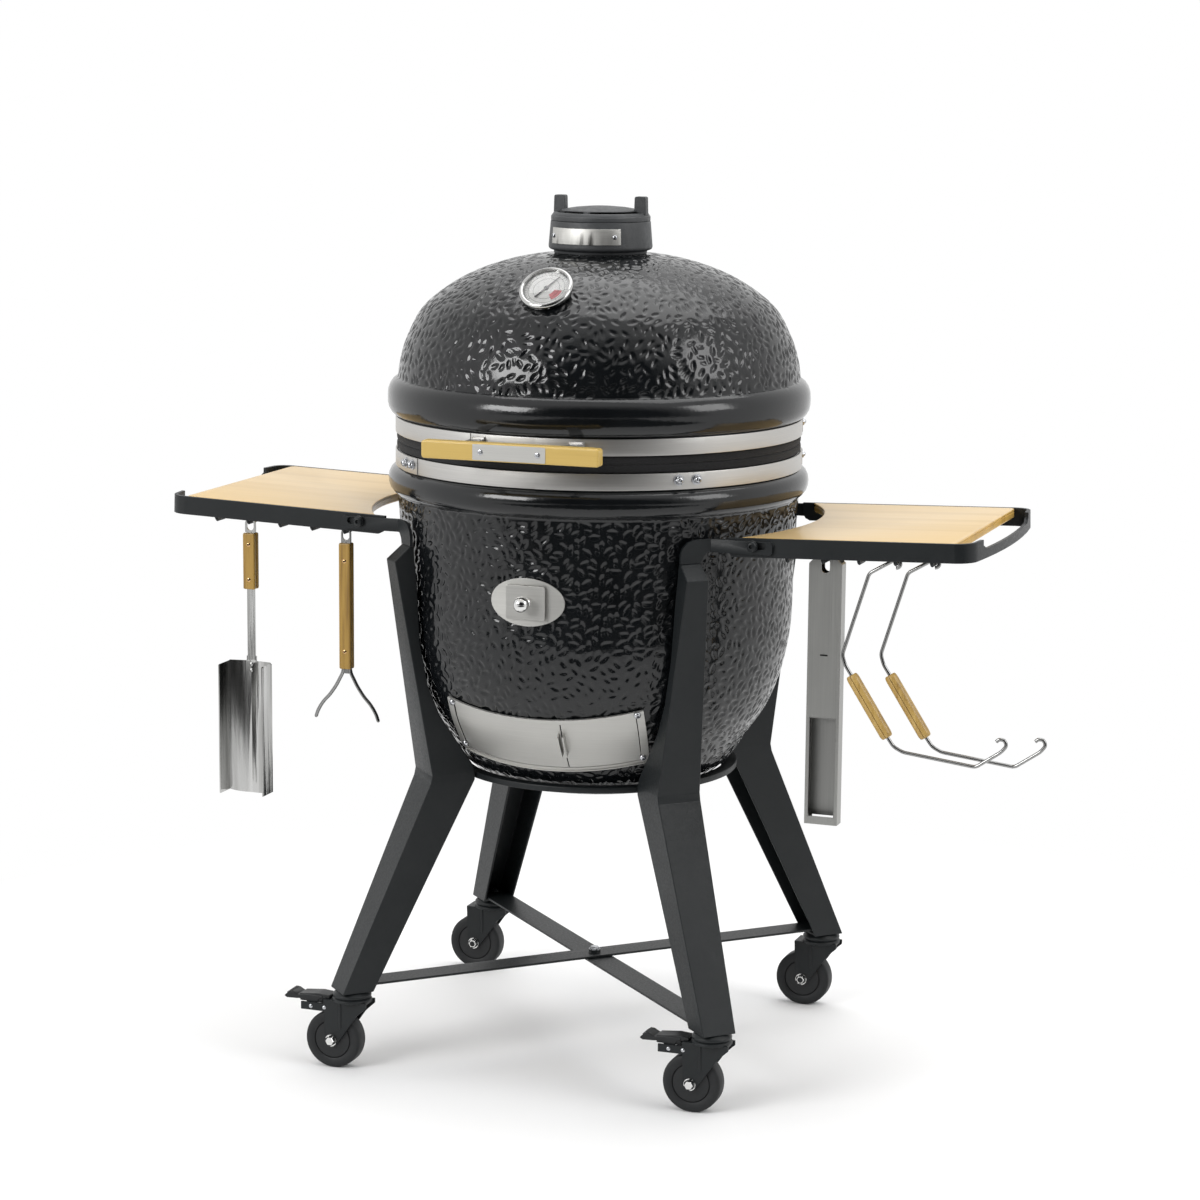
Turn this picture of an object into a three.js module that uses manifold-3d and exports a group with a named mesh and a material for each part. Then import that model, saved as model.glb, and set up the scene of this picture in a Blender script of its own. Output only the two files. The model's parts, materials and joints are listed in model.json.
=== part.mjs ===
// Kamado grill: a ceramic kettle on a four-legged cart with side tables and tools.
// Units are millimetres, +Z is up and the front of the grill faces -Y.
// Everything is laid out around the kettle's vertical axis, and the last lines move
// that axis so that the origin is the middle of the footprint, on the floor.

import * as THREE from "three";
import { mergeVertices } from "three/addons/utils/BufferGeometryUtils.js";
import Module from "manifold-3d";

const wasm = await Module();
wasm.setup();

// ---------------------------------------------------------------- driving dimensions

const gap = 0.3; // between pieces that touch
const turn = 2 * Math.PI;
const degree = Math.PI / 180;
const roundSides = 32; // facets around the kettle

// kettle
const bandRadius = 265;
const neckRadius = 262;
const wall = 28;
const seamHeight = 809; // where the two felts meet
const feltHeight = 11;
const baseRimTop = seamHeight - feltHeight;
const lidRimBottom = seamHeight + feltHeight;
const bandHeight = 21;
const domeTop = 1050.5;
const flueRadius = 46;

// chimney
const collarBottomRadius = 67.2;
const collarTopRadius = 64.3;
const collarTop = 1092.7;
const lugTop = 1124.4;
const lugWidth = 16.2;
const lugThickness = 11;
const lugMiddle = 55.1; // from the axis

// thermometer, on its own axis
const gaugeCentre = new THREE.Vector3(0, -193, 1015);
const gaugeTilt = 48 * degree; // of its axis above the horizontal
const bezelRadius = 34.5;

// handle and hinge
const handleLength = 232;
const handleFront = 321;
const handleDepth = 17;
const handleHeight = 22.5;
const handleMiddle = 827;
const bracketReach = 65; // from the middle of the bar
const pinHeight = 806;
const pinRadius = 5;
const earRadius = 16;
const plateThickness = 1.5;
const rearReach = handleFront + plateThickness;
const pinDepth = rearReach - earRadius;

// air doors and feed port
const doorLean = 24 * degree; // of the axis that the doors turn about, towards the front
const doorCentre = [0, 14.7, 548.7];
const doorBottom = -39.4; // heights along that axis, from its centre
const doorTop = 33.5;
const frameBottom = -46;
const frameTop = 40.5;
const seamAngle = 7.8;
const portHeight = 634;

// cart
const sheet = 3;
const legTop = 684;
const legFoot = 105;
const footRadius = 347.3; // of the caster axes from the kettle's axis
const braceReach = 358;
const braceHalfWidth = 18.5;
const braceThickness = 3;
const ringInner = 170;
const ringOuter = 186.5;

// tables
const pivotReach = 265.2;
const pivotHeight = 708.5;
const tableRise = 1.9 * degree;
const barFront = 168;
const barThickness = 5;
const barTop = 8.8; // above the pivot
const barBottom = -15.2;
const tableEnd = 278; // from the pivot to the end of the straight sides
const endBow = 9;
const cornerRadius = 24;
const boardEnd = 254;
const boardThickness = 12;
const boardCut = 296; // radius of the arc around the kettle
const armThickness = 4;
const hookSpacing = 45.9;
const hookRadius = 2.6;
const hookDrop = -20.6; // below the pivot
const firstHook = { left: 30, right: 38.5 };
const hookBack = -128; // where a hook's free end lies
const hookLeg = -153;

// casters
const wheelRadius = 37.9;
const wheelWidth = 23;
const trail = 23.3;
const axleRadius = 4;

// ---------------------------------------------------------------- finishes

const finishes = {
  glaze: { color: 0x141617, roughness: 0.18, metalness: 0 },
  steel: { color: 0xb9b9b6, roughness: 0.32, metalness: 1 },
  powder: { color: 0x2b2e30, roughness: 0.6, metalness: 0.2 },
  iron: { color: 0x3c3f40, roughness: 0.7, metalness: 0.4 },
  felt: { color: 0x161616, roughness: 1, metalness: 0 },
  firebrick: { color: 0xb5a487, roughness: 0.95, metalness: 0 },
  bamboo: { color: 0xdcbc85, roughness: 0.5, metalness: 0 },
  wood: { color: 0xb98a4a, roughness: 0.55, metalness: 0 },
  rubber: { color: 0x2e2f30, roughness: 0.8, metalness: 0 },
  plastic: { color: 0x1d1e1f, roughness: 0.5, metalness: 0 },
};

const grill = new THREE.Group();

function place(name, finish, geometry, position = [0, 0, 0], rotation = [0, 0, 0]) {
  const mesh = new THREE.Mesh(geometry, new THREE.MeshStandardMaterial(finishes[finish]));
  mesh.name = name;
  mesh.position.set(...position);
  mesh.rotation.set(...rotation);
  grill.add(mesh);
  return mesh;
}

// ---------------------------------------------------------------- geometry helpers

// A closed geometry with shared vertices and its faces pointing out.
function clean(geometry) {
  const bare = geometry.index ? geometry.clone() : geometry;
  bare.deleteAttribute("normal");
  bare.deleteAttribute("uv");
  const merged = mergeVertices(bare, 1e-4);
  const p = merged.attributes.position;
  const index = merged.index.array;
  const corner = [new THREE.Vector3(), new THREE.Vector3(), new THREE.Vector3()];
  const kept = [];
  let volume = 0;
  for (let i = 0; i < index.length; i += 3) {
    const [a, b, c] = [index[i], index[i + 1], index[i + 2]];
    if (a === b || b === c || a === c) continue;
    kept.push(a, b, c);
    [a, b, c].forEach((v, k) => corner[k].fromBufferAttribute(p, v));
    volume += corner[0].dot(corner[1].cross(corner[2]));
  }
  if (volume < 0) kept.reverse();
  merged.setIndex(kept);
  return merged;
}

function solid(geometry) {
  const merged = clean(geometry);
  const mesh = new wasm.Mesh({
    numProp: 3,
    vertProperties: new Float32Array(merged.attributes.position.array),
    triVerts: new Uint32Array(merged.index.array),
  });
  mesh.merge();
  return new wasm.Manifold(mesh);
}

function geometryOf(body) {
  const mesh = body.getMesh();
  const geometry = new THREE.BufferGeometry();
  geometry.setAttribute("position", new THREE.BufferAttribute(mesh.vertProperties, 3));
  geometry.setIndex(new THREE.BufferAttribute(mesh.triVerts, 1));
  return geometry;
}

function join(...pieces) {
  return geometryOf(pieces.map(solid).reduce((sum, piece) => sum.add(piece)));
}

function cut(piece, ...tools) {
  return geometryOf(tools.map(solid).reduce((left, tool) => left.subtract(tool), solid(piece)));
}

function common(piece, other) {
  return geometryOf(solid(piece).intersect(solid(other)));
}

// A box given by its lowest and highest corners.
function block(low, high) {
  const size = high.map((value, i) => value - low[i]);
  const middle = high.map((value, i) => (value + low[i]) / 2);
  return new THREE.BoxGeometry(...size).translate(...middle);
}

// A solid of revolution about Z from [radius, height] points.
function turned(points, sides = roundSides) {
  const profile = points.map(([r, z]) => new THREE.Vector2(r, z));
  return new THREE.LatheGeometry(profile, sides).rotateX(Math.PI / 2);
}

// A ring whose profile closes on itself.
function ring(points, sides = roundSides) {
  return turned([...points, points[0]], sides);
}

function cylinder(radius, length, sides = 16) {
  return new THREE.CylinderGeometry(radius, radius, length, sides);
}

// A cylinder along one axis, centred on a point.
function rod(axis, radius, length, centre, sides = 16) {
  const piece = cylinder(radius, length, sides);
  if (axis === "x") piece.rotateZ(Math.PI / 2);
  if (axis === "z") piece.rotateX(Math.PI / 2);
  return piece.translate(...centre);
}

function outline(points) {
  return new THREE.Shape(points.map(([x, y]) => new THREE.Vector2(x, y)));
}

function roundedOutline(width, height, radius) {
  const [x, y] = [width / 2, height / 2];
  const shape = new THREE.Shape();
  shape.absarc(x - radius, y - radius, radius, 0, turn / 4);
  shape.absarc(-x + radius, y - radius, radius, turn / 4, turn / 2);
  shape.absarc(-x + radius, -y + radius, radius, turn / 2, (3 * turn) / 4);
  shape.absarc(x - radius, -y + radius, radius, (3 * turn) / 4, turn);
  shape.closePath();
  return shape;
}

function extruded(shape, depth, curveSegments = 6) {
  return new THREE.ExtrudeGeometry(shape, { depth, bevelEnabled: false, curveSegments });
}

// A plate drawn in X and Z, from y = front to y = front + depth.
function uprightPlate(shape, front, depth, curveSegments = 6) {
  return extruded(shape, depth, curveSegments).rotateX(Math.PI / 2).translate(0, front + depth, 0);
}

// A round bar along a curve.
function sweptRod(path, radius, sides, steps) {
  const section = new THREE.Shape();
  for (let i = 0; i < sides; i += 1) {
    const angle = (turn * i) / sides;
    const [x, y] = [radius * Math.cos(angle), radius * Math.sin(angle)];
    if (i === 0) section.moveTo(x, y);
    else section.lineTo(x, y);
  }
  section.closePath();
  return new THREE.ExtrudeGeometry(section, { steps, bevelEnabled: false, extrudePath: path });
}

// A round wire through points of the XZ plane, mitred at each point.
function wireAlong(run, radius, sides = 8) {
  const vertices = [];
  const index = [];
  run.forEach(([x, z], i) => {
    const before = run[Math.max(i - 1, 0)];
    const after = run[Math.min(i + 1, run.length - 1)];
    const inward = i === 0 ? after : run[i];
    const dirIn = new THREE.Vector2(inward[0] - before[0], inward[1] - before[1]).normalize();
    const outward = i === run.length - 1 ? before : run[i];
    const dirOut = new THREE.Vector2(after[0] - outward[0], after[1] - outward[1]).normalize();
    const along = dirIn.clone().add(dirOut).normalize();
    const mitre = 1 / Math.max(along.dot(dirIn), 0.5);
    for (let k = 0; k < sides; k += 1) {
      const angle = (turn * k) / sides;
      const across = radius * Math.cos(angle) * mitre;
      vertices.push(x - along.y * across, radius * Math.sin(angle), z + along.x * across);
    }
  });
  for (let i = 0; i < run.length - 1; i += 1) {
    for (let k = 0; k < sides; k += 1) {
      const a = i * sides + k;
      const b = i * sides + ((k + 1) % sides);
      index.push(a, b, b + sides, a, b + sides, a + sides);
    }
  }
  const last = (run.length - 1) * sides;
  for (let k = 1; k < sides - 1; k += 1) {
    index.push(0, k + 1, k, last, last + k, last + k + 1);
  }
  const geometry = new THREE.BufferGeometry();
  geometry.setAttribute("position", new THREE.Float32BufferAttribute(vertices, 3));
  geometry.setIndex(index);
  return clean(geometry);
}

// A closed skin over four-cornered sections.
function loft(sections) {
  const vertices = sections.flat(2);
  const index = [];
  for (let s = 0; s < sections.length - 1; s += 1) {
    for (let k = 0; k < 4; k += 1) {
      const a = 4 * s + k;
      const b = 4 * s + ((k + 1) % 4);
      index.push(a, b, b + 4, a, b + 4, a + 4);
    }
  }
  const last = 4 * (sections.length - 1);
  index.push(0, 2, 1, 0, 3, 2, last, last + 1, last + 2, last, last + 2, last + 3);
  const geometry = new THREE.BufferGeometry();
  geometry.setAttribute("position", new THREE.Float32BufferAttribute(vertices, 3));
  geometry.setIndex(index);
  return geometry;
}

function mirroredX(geometry) {
  return clean(geometry.clone().scale(-1, 1, 1));
}

function mirroredY(geometry) {
  return clean(geometry.clone().scale(1, -1, 1));
}

// The part of a ring between two bearings, in degrees from the front towards +X.
function sector(geometry, from, to) {
  const reach = 900;
  const points = [[0, 0]];
  for (let i = 0; i <= 4; i += 1) {
    const angle = (from + ((to - from) * i) / 4) * degree;
    points.push([reach * Math.sin(angle), -reach * Math.cos(angle)]);
  }
  const wedge = extruded(outline(points), 1400);
  return common(geometry, wedge);
}

// ---------------------------------------------------------------- kettle

const bowlOutside = [
  [0, 358],
  [110, 358],
  [153, 371],
  [181, 398],
  [203, 431],
  [225, 464],
  [241, 503],
  [251, 545],
  [255, 562],
  [257, 648],
  [262, 738],
];

// Radius of the bowl's outer face at one height.
function bowlRadius(z) {
  for (let i = 1; i < bowlOutside.length; i += 1) {
    const [r0, z0] = bowlOutside[i - 1];
    const [r1, z1] = bowlOutside[i];
    if (z1 > z0 && z <= z1) return r0 + ((r1 - r0) * (z - z0)) / (z1 - z0);
  }
  return neckRadius;
}

function bowl() {
  const bandBottom = baseRimTop - bandHeight;
  const shell = turned([
    ...bowlOutside,
    [271, 748],
    [274, 759],
    [271, 770],
    [neckRadius, bandBottom - 0.8],
    [neckRadius, baseRimTop],
    [neckRadius - wall, baseRimTop],
    [neckRadius - wall, 740],
    [228, 648],
    [221, 545],
    [203, 482],
    [165, 420],
    [118, 388],
    [0, 388],
  ]);
  const draft = block([-92, -260, 432], [84, -130, 468]);
  const port = rod("y", 24, 120, [0, -250, portHeight], 16);
  return cut(shell, draft, port);
}

function dome() {
  const shell = turned([
    [neckRadius - wall, lidRimBottom],
    [neckRadius, lidRimBottom],
    [neckRadius, lidRimBottom + bandHeight + 0.8],
    [271, 849],
    [275, 860],
    [275, 874],
    [271, 885],
    [neckRadius, 891],
    [258, 915],
    [249, 943],
    [230, 980],
    [200, 1005],
    [165, 1025],
    [125, 1039.5],
    [90, 1047.5],
    [collarBottomRadius, domeTop],
    [flueRadius, domeTop],
    [flueRadius, 1023],
    [105, 1016],
    [165, 994],
    [206, 960],
    [228, 910],
    [neckRadius - wall, 870],
    [neckRadius - wall, lidRimBottom],
  ]);
  return cut(shell, onGaugeAxis(rod("z", 8.5, 140, [0, 0, -30], 12)));
}

function band(bottom) {
  const inner = neckRadius + gap;
  const top = bottom + bandHeight;
  return ring([[inner, bottom], [bandRadius, bottom], [bandRadius, top], [inner, top]]);
}

function felt(bottom) {
  const top = bottom + feltHeight - gap;
  return ring([[237, bottom], [261, bottom], [261, top], [237, top]]);
}

function firebox() {
  const cup = turned([
    [0, 391.5],
    [110, 391.5],
    [140, 412],
    [184, 476],
    [200, 560],
    [182, 560],
    [168, 484],
    [126, 412],
    [0, 412],
  ], 24);
  return cut(cup, block([-60, -260, 430], [60, -90, 466]));
}

function fireRing() {
  const collar = ring([[182, 560.3], [200, 560.3], [206, 735], [188, 735]], 24);
  return cut(collar, block([-34, -260, 604], [34, -150, 664]));
}

// A round grate: parallel bars inside a rim.
function grate(radius, rim, spacing, slot, thickness) {
  const shape = new THREE.Shape();
  shape.absarc(0, 0, radius, 0, turn);
  const count = Math.floor((radius - 2 * rim - slot) / spacing);
  for (let k = -count; k <= count; k += 1) {
    const x = k * spacing;
    const half = Math.sqrt((radius - rim) ** 2 - (Math.abs(x) + slot / 2) ** 2);
    const [left, right] = [x - slot / 2, x + slot / 2];
    shape.holes.push(outline([[left, -half], [right, -half], [right, half], [left, half]]));
  }
  return extruded(shape, thickness, 28);
}

place("base_bowl", "glaze", bowl());
place("base_band", "steel", band(baseRimTop - bandHeight));
place("base_gasket", "felt", felt(baseRimTop + gap));
place("firebox", "firebrick", firebox());
place("fire_ring", "firebrick", fireRing());
place("charcoal_grate", "iron", grate(118, 14, 20, 9, 8), [0, 0, 412 + gap]);
place("cooking_grate", "steel", grate(228, 8, 27, 19, 6), [0, 0, 735 + gap]);
place("lid_dome", "glaze", dome());
place("lid_band", "steel", band(lidRimBottom));
place("lid_gasket", "felt", felt(seamHeight));

// ---------------------------------------------------------------- chimney

function chimneyCollar() {
  const bottom = domeTop + gap;
  return ring([
    [flueRadius, bottom],
    [61, bottom],
    [61, bottom + 5],
    [collarBottomRadius, bottom + 6.5],
    [collarTopRadius, collarTop],
    [50, collarTop],
  ], 28);
}

// The turning cap: a rim with two lugs, and a raised disc on a cross.
function damperCap() {
  const bottom = collarTop + gap;
  const rim = ring([[54, bottom], [64.2, bottom], [63.8, 1100.5], [61.5, 1103.5], [54, 1103.5]], 28);
  const disc = turned([[0, 1105.2], [54.5, 1104.4], [54.5, 1106.6], [0, 1109.3]], 28);
  const cross = [
    block([-57, -4, 1096], [57, 4, 1106]),
    block([-4, -57, 1096], [4, 57, 1106]),
  ];
  const lugShape = roundedOutline(lugWidth, lugTop - 1100, 3);
  const upright = uprightPlate(lugShape, -lugThickness / 2, lugThickness);
  const lug = upright.translate(lugMiddle, 0, (lugTop + 1100) / 2);
  return join(rim, disc, ...cross, lug, lug.clone().translate(-2 * lugMiddle, 0, 0));
}

function nameplate() {
  const slope = (collarBottomRadius - collarTopRadius) / (collarTop - domeTop - 6.8);
  const radiusAt = (z) => collarBottomRadius - slope * (z - domeTop - 6.8) + gap;
  const [low, high] = [1064.5, 1085];
  const profile = [
    [radiusAt(low), low],
    [radiusAt(low) + plateThickness, low],
    [radiusAt(high) + plateThickness, high],
    [radiusAt(high), high],
  ];
  return sector(ring(profile, 28), -47, 42.5);
}

place("chimney_collar", "iron", chimneyCollar());
place("damper_cap", "iron", damperCap());
place("nameplate", "steel", nameplate());

// ---------------------------------------------------------------- thermometer

// Turns a piece built on +Z to the gauge's axis, which leans to the front.
function onGaugeAxis(geometry) {
  return geometry.rotateX(Math.PI / 2 - gaugeTilt).translate(...gaugeCentre.toArray());
}

function thermometerCase() {
  const shell = turned([
    [0, -62],
    [4, -62],
    [7, -50],
    [7, -2],
    [14, -2],
    [14, 0],
    [31.5, 0],
    [bezelRadius, 3],
    [bezelRadius, 6.5],
    [32.5, 9],
    [29.5, 9],
    [29.5, 4],
    [0, 4],
  ], 20);
  return onGaugeAxis(shell);
}

// The pointer lies just over the dial, with its long end at the upper right.
function thermometerNeedle() {
  const hub = rod("z", 3, 1.8, [0, 0, 5.2], 12);
  const pointer = extruded(outline([[-19, -1.1], [23, -0.5], [23, 0.5], [-19, 1.1]]), 0.9).translate(0, 0, 4.8);
  return onGaugeAxis(join(hub, pointer.rotateZ(57 * degree)));
}

place("thermometer_case", "steel", thermometerCase());
place("thermometer_needle", "iron", thermometerNeedle());

// ---------------------------------------------------------------- lid handle

function handleBar() {
  const shape = roundedOutline(handleDepth, handleHeight, 4);
  const bar = extruded(shape, handleLength).rotateY(Math.PI / 2).rotateX(Math.PI / 2);
  return bar.translate(-handleLength / 2, -handleFront + handleDepth / 2, handleMiddle);
}

function handlePlate() {
  const shape = roundedOutline(95, 19.5, 1.5);
  return uprightPlate(shape, -rearReach, plateThickness - gap).translate(0, 0, handleMiddle);
}

// A small folded bracket from the lid's band to the back of the bar.
function handleBracket(x) {
  const back = handleFront - handleDepth - gap;
  const shelf = block([x - 9, -back, 832], [x + 9, -250, 835]);
  const barTab = block([x - 9, -back, 818], [x + 9, -back + 3, 835]);
  const bandTab = block([x - 9, -262, 823], [x + 9, -250, 838]);
  const band = rod("z", bandRadius + 2 * gap, 60, [0, 0, 830], 64);
  return cut(join(shelf, barTab, bandTab), band);
}

place("handle_bar", "bamboo", handleBar());
place("handle_plate", "steel", handlePlate());
place("handle_bracket_left", "steel", handleBracket(-bracketReach));
place("handle_bracket_right", "steel", handleBracket(bracketReach));

// ---------------------------------------------------------------- rear hinge

// A block behind a band, hollowed to the band's curve.
function saddle(halfWidth, bottom, top) {
  const body = block([-halfWidth, 240, bottom], [halfWidth, 271, top]);
  const middle = [0, 0, (bottom + top) / 2];
  return cut(body, rod("z", bandRadius + 2 * gap, 60, middle, 64));
}

// An ear from a saddle to the pin, as a plate across X.
function hingeEar(x, low, high, radius) {
  const ear = new THREE.Shape();
  ear.moveTo(269, low);
  ear.lineTo(pinDepth - 12, Math.min(low, pinHeight - radius));
  ear.absarc(pinDepth, pinHeight, radius, -turn / 4, turn / 4);
  ear.lineTo(269, high);
  ear.closePath();
  const plate = extruded(ear, 4, 8).rotateY(Math.PI / 2).rotateX(Math.PI / 2);
  return plate.translate(x - 2, 0, 0);
}

function hingeBase() {
  const ears = [-58, 58].map((x) => hingeEar(x, 779, 796, earRadius));
  const pin = rod("x", pinRadius, 124, [0, pinDepth, pinHeight], 16);
  return join(saddle(62, 779, 796), ...ears, pin);
}

function hingeLid() {
  const arms = [-48, 48].map((x) => {
    const room = rod("x", pinRadius + gap, 20, [x, pinDepth, pinHeight], 16);
    return cut(hingeEar(x, 822, 839, 12), room);
  });
  return join(saddle(52, 822, 839), ...arms);
}

place("hinge_base_bracket", "steel", hingeBase());
place("hinge_lid_bracket", "steel", hingeLid());

// ---------------------------------------------------------------- air doors

// A ring that follows the bowl between two heights, at two distances from its face.
function bowlSkin(low, high, near, far) {
  const bends = bowlOutside.map(([, z]) => z).filter((z) => z > low && z < high);
  const heights = [low, ...bends, high];
  const outside = heights.map((z) => [bowlRadius(z) + far, z]);
  const inside = heights.map((z) => [bowlRadius(z) + near, z]).reverse();
  return ring([...outside, ...inside]);
}

// Radius and height of the surface that the air doors slide over, on their own axis.
const doorCurve = [
  [242.8, -47],
  [248.8, -18],
  [252.1, 0],
  [253.8, 14],
  [254.3, 42],
];

function doorRadius(h) {
  const i = doorCurve.findIndex(([, top]) => top >= h);
  const [r0, h0] = doorCurve[i - 1];
  const [r1, h1] = doorCurve[i];
  return r0 + ((r1 - r0) * (h - h0)) / (h1 - h0);
}

// Sheet metal between two angles and two heights on the doors' axis, which leans to
// the front. Its facets are fine, so that a door can turn under its frame.
function doorSheet(from, to, low, high, near, far) {
  const bends = doorCurve.map(([, h]) => h).filter((h) => h > low && h < high);
  const heights = [low, ...bends, high];
  const outside = heights.map((h) => [doorRadius(h) + far, h]);
  const inside = heights.map((h) => [doorRadius(h) + near, h]).reverse();
  return sector(ring([...outside, ...inside], 2 * roundSides), from, to);
}

function onDoorAxis(...sheets) {
  return join(...sheets).rotateX(doorLean).translate(...doorCentre);
}

function doorFrame() {
  const [from, to] = [-29.7, 31.7];
  return onDoorAxis(
    doorSheet(from, to, frameBottom, doorBottom - 0.5, 0.4, 4.6),
    doorSheet(from, to, doorTop + 0.5, frameTop, 0.4, 4.6),
    doorSheet(from, from + 3.8, frameBottom, frameTop, 3.2, 4.6),
    doorSheet(to - 3.8, to, frameBottom, frameTop, 3.2, 4.6),
  );
}

// A door with a finger tab that stands out beside the seam.
function airDoor(from, to, tab) {
  const panel = doorSheet(from, to, doorBottom, doorTop, 1.2, 2.5);
  return onDoorAxis(panel, doorSheet(tab, tab + 0.4, -14, 20, 1.8, 12));
}

place("draft_door_frame", "steel", doorFrame());
place("draft_door_left", "steel", airDoor(-27.3, seamAngle - 0.1, seamAngle - 0.9));
place("draft_door_right", "steel", airDoor(seamAngle + 0.1, 29.3, seamAngle + 0.5));

// ---------------------------------------------------------------- feed port

function portPlate() {
  const skin = bowlSkin(600, 668, 0.8, 2.4);
  const oval = new THREE.Shape();
  oval.absellipse(0, 0, 49, 30.5, 0, turn);
  const cutter = uprightPlate(oval, -300, 100, 28).translate(0, 0, portHeight);
  return cut(common(skin, cutter), rod("y", 22, 80, [0, -260, portHeight], 16));
}

// The stopper: a flat cover with a plug behind it and a ball in front.
function portCover() {
  const cover = uprightPlate(roundedOutline(52, 43, 4), -263, 2).translate(0, 0, portHeight);
  const plug = rod("y", 20, 36, [0, -244, portHeight], 16);
  const stem = rod("y", 4, 10, [0, -266, portHeight], 12);
  const ball = new THREE.SphereGeometry(10, 12, 8).translate(0, -277, portHeight);
  return join(cover, plug, stem, ball);
}

place("feed_port_plate", "steel", portPlate());
place("port_cover", "steel", portCover());

// ---------------------------------------------------------------- legs

// Height, outer radius, inner radius and width of a leg, from the top down.
const legSections = [
  [legTop, 271, 265.5, 28],
  [666, 292, 265, 30],
  [640, 287.8, 262.5, 32.8],
  [595, 280.5, 261, 37.6],
  [560, 274.8, 260, 41.3],
  [503, 265.6, 250, 47.4],
  [464, 259.3, 234.5, 51.4],
  [431, 253.9, 213, 54.8],
  [398, 248.6, 191, 58.4],
  [386, 246.6, 187, 59.6],
  [376, 248.7, 187.2, 59.7],
  [legFoot, 368.6, 326, 45.2],
];

function leg() {
  const outside = legSections.map(([z, outer, inner, width]) => {
    const half = width / 2;
    return [[inner, -half, z], [outer, -half, z], [outer, half, z], [inner, half, z]];
  });
  const hollow = legSections.map(([z, outer, inner, width], i) => {
    const half = width / 2 - sheet;
    const level = i === legSections.length - 1 ? z + 4 : z;
    const [back, front] = [inner - 30, outer - sheet];
    return [[back, -half, level], [front, -half, level], [front, half, level], [back, half, level]];
  });
  return cut(loft(outside), loft(hollow));
}

const corners = { rear_right: 45, rear_left: 135, front_left: 225, front_right: 315 };
for (const [corner, angle] of Object.entries(corners)) {
  place(`leg_${corner}`, "powder", leg(), [0, 0, 0], [0, 0, angle * degree]);
}

function supportRing() {
  return ring([[ringInner, 377], [ringOuter, 377], [ringOuter, 385], [ringInner, 385]], 32);
}

function braceBar(bottom) {
  const top = bottom + braceThickness;
  return block([-braceReach, -braceHalfWidth, bottom], [braceReach, braceHalfWidth, top]);
}

const braceBottom = legFoot + 4 + gap;
const braceMiddle = braceBottom + braceThickness + gap;
const brace = cut(braceBar(braceBottom), rod("z", 4.6, 20, [0, 0, braceBottom], 16));
const bolt = [
  rod("z", 4, 22, [0, 0, braceMiddle - 1], 16),
  rod("z", 8, 5, [0, 0, braceMiddle + braceThickness + 2.4], 6),
  rod("z", 8, 6, [0, 0, braceBottom - 3.5], 6),
];
place("support_ring", "powder", supportRing());
const boltedBrace = join(braceBar(braceMiddle), ...bolt);
place("brace_upper", "powder", boltedBrace, [0, 0, 0], [0, 0, corners.rear_right * degree]);
place("brace_lower", "powder", brace, [0, 0, 0], [0, 0, corners.rear_left * degree]);

// ---------------------------------------------------------------- table arms

// The arm at the front right: a tongue above the leg's face, folded to run along X.
function tableArm() {
  const faceRadius = legSections[0][1];
  const armFront = barFront + gap + armThickness;
  const fold = faceRadius - armFront * Math.SQRT2;
  const [bottom, top] = [697.5, 714];
  const tongue = outline([
    [-14, legTop + gap],
    [14, legTop + gap],
    [17, 691],
    [23, bottom],
    [fold + 1.5, bottom],
    [fold + 1.5, top],
    [6, top],
    [-4, 711],
    [-11, 704],
    [-14, 695],
  ]);
  const rising = uprightPlate(tongue, -faceRadius, armThickness).rotateZ(45 * degree);
  const start = (faceRadius + fold) / Math.SQRT2 - 1.2;
  const end = pivotReach + 25;
  const run = outline([
    [start, bottom],
    [end - 3, bottom],
    [end, bottom + 3],
    [end, top - 3],
    [end - 3, top],
    [start, top],
  ]);
  const slot = new THREE.Path();
  const slotRadius = axleRadius + gap;
  slot.absarc(pivotReach, pivotHeight, slotRadius, turn / 4, (3 * turn) / 4);
  slot.absarc(pivotReach + 13, pivotHeight, slotRadius, -turn / 4, turn / 4);
  slot.closePath();
  run.holes.push(slot);
  return join(rising, uprightPlate(run, -armFront, armThickness));
}

const arm = tableArm();
place("table_arm_front_right", "powder", arm);
place("table_arm_front_left", "powder", mirroredX(arm));
place("table_arm_rear_right", "powder", mirroredY(arm));
place("table_arm_rear_left", "powder", mirroredX(mirroredY(arm)));

// ---------------------------------------------------------------- tables

// Plan of the bar that runs out along one side, around the bowed end and back.
function barPlan(inset) {
  const side = barFront - inset;
  const end = tableEnd - inset;
  const radius = cornerRadius - inset;
  const shape = [];
  shape.push([-60, -side]);
  for (let i = 0; i <= 5; i += 1) {
    const angle = -turn / 4 + (turn / 4) * (i / 5);
    shape.push([end - radius + radius * Math.cos(angle), -side + radius + radius * Math.sin(angle)]);
  }
  const straight = side - radius;
  for (let i = 1; i < 8; i += 1) {
    const y = -straight + (2 * straight * i) / 8;
    shape.push([end + endBow * (1 - (y / straight) ** 2), y]);
  }
  for (let i = 0; i <= 5; i += 1) {
    const angle = (turn / 4) * (i / 5);
    shape.push([end - radius + radius * Math.cos(angle), side - radius + radius * Math.sin(angle)]);
  }
  shape.push([-60, side]);
  return shape;
}

// A hook under the table: down, then back, with its end turned up.
function hook(x) {
  const bend = 2.5;
  const run = [
    [hookLeg, -6],
    [hookLeg, hookDrop + bend],
    [hookLeg + bend, hookDrop],
    [hookBack - bend, hookDrop],
    [hookBack, hookDrop + bend],
    [hookBack, hookDrop + 6],
  ];
  return wireAlong(run, hookRadius, 6).rotateZ(Math.PI / 2).translate(x, 0, 0);
}

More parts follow.
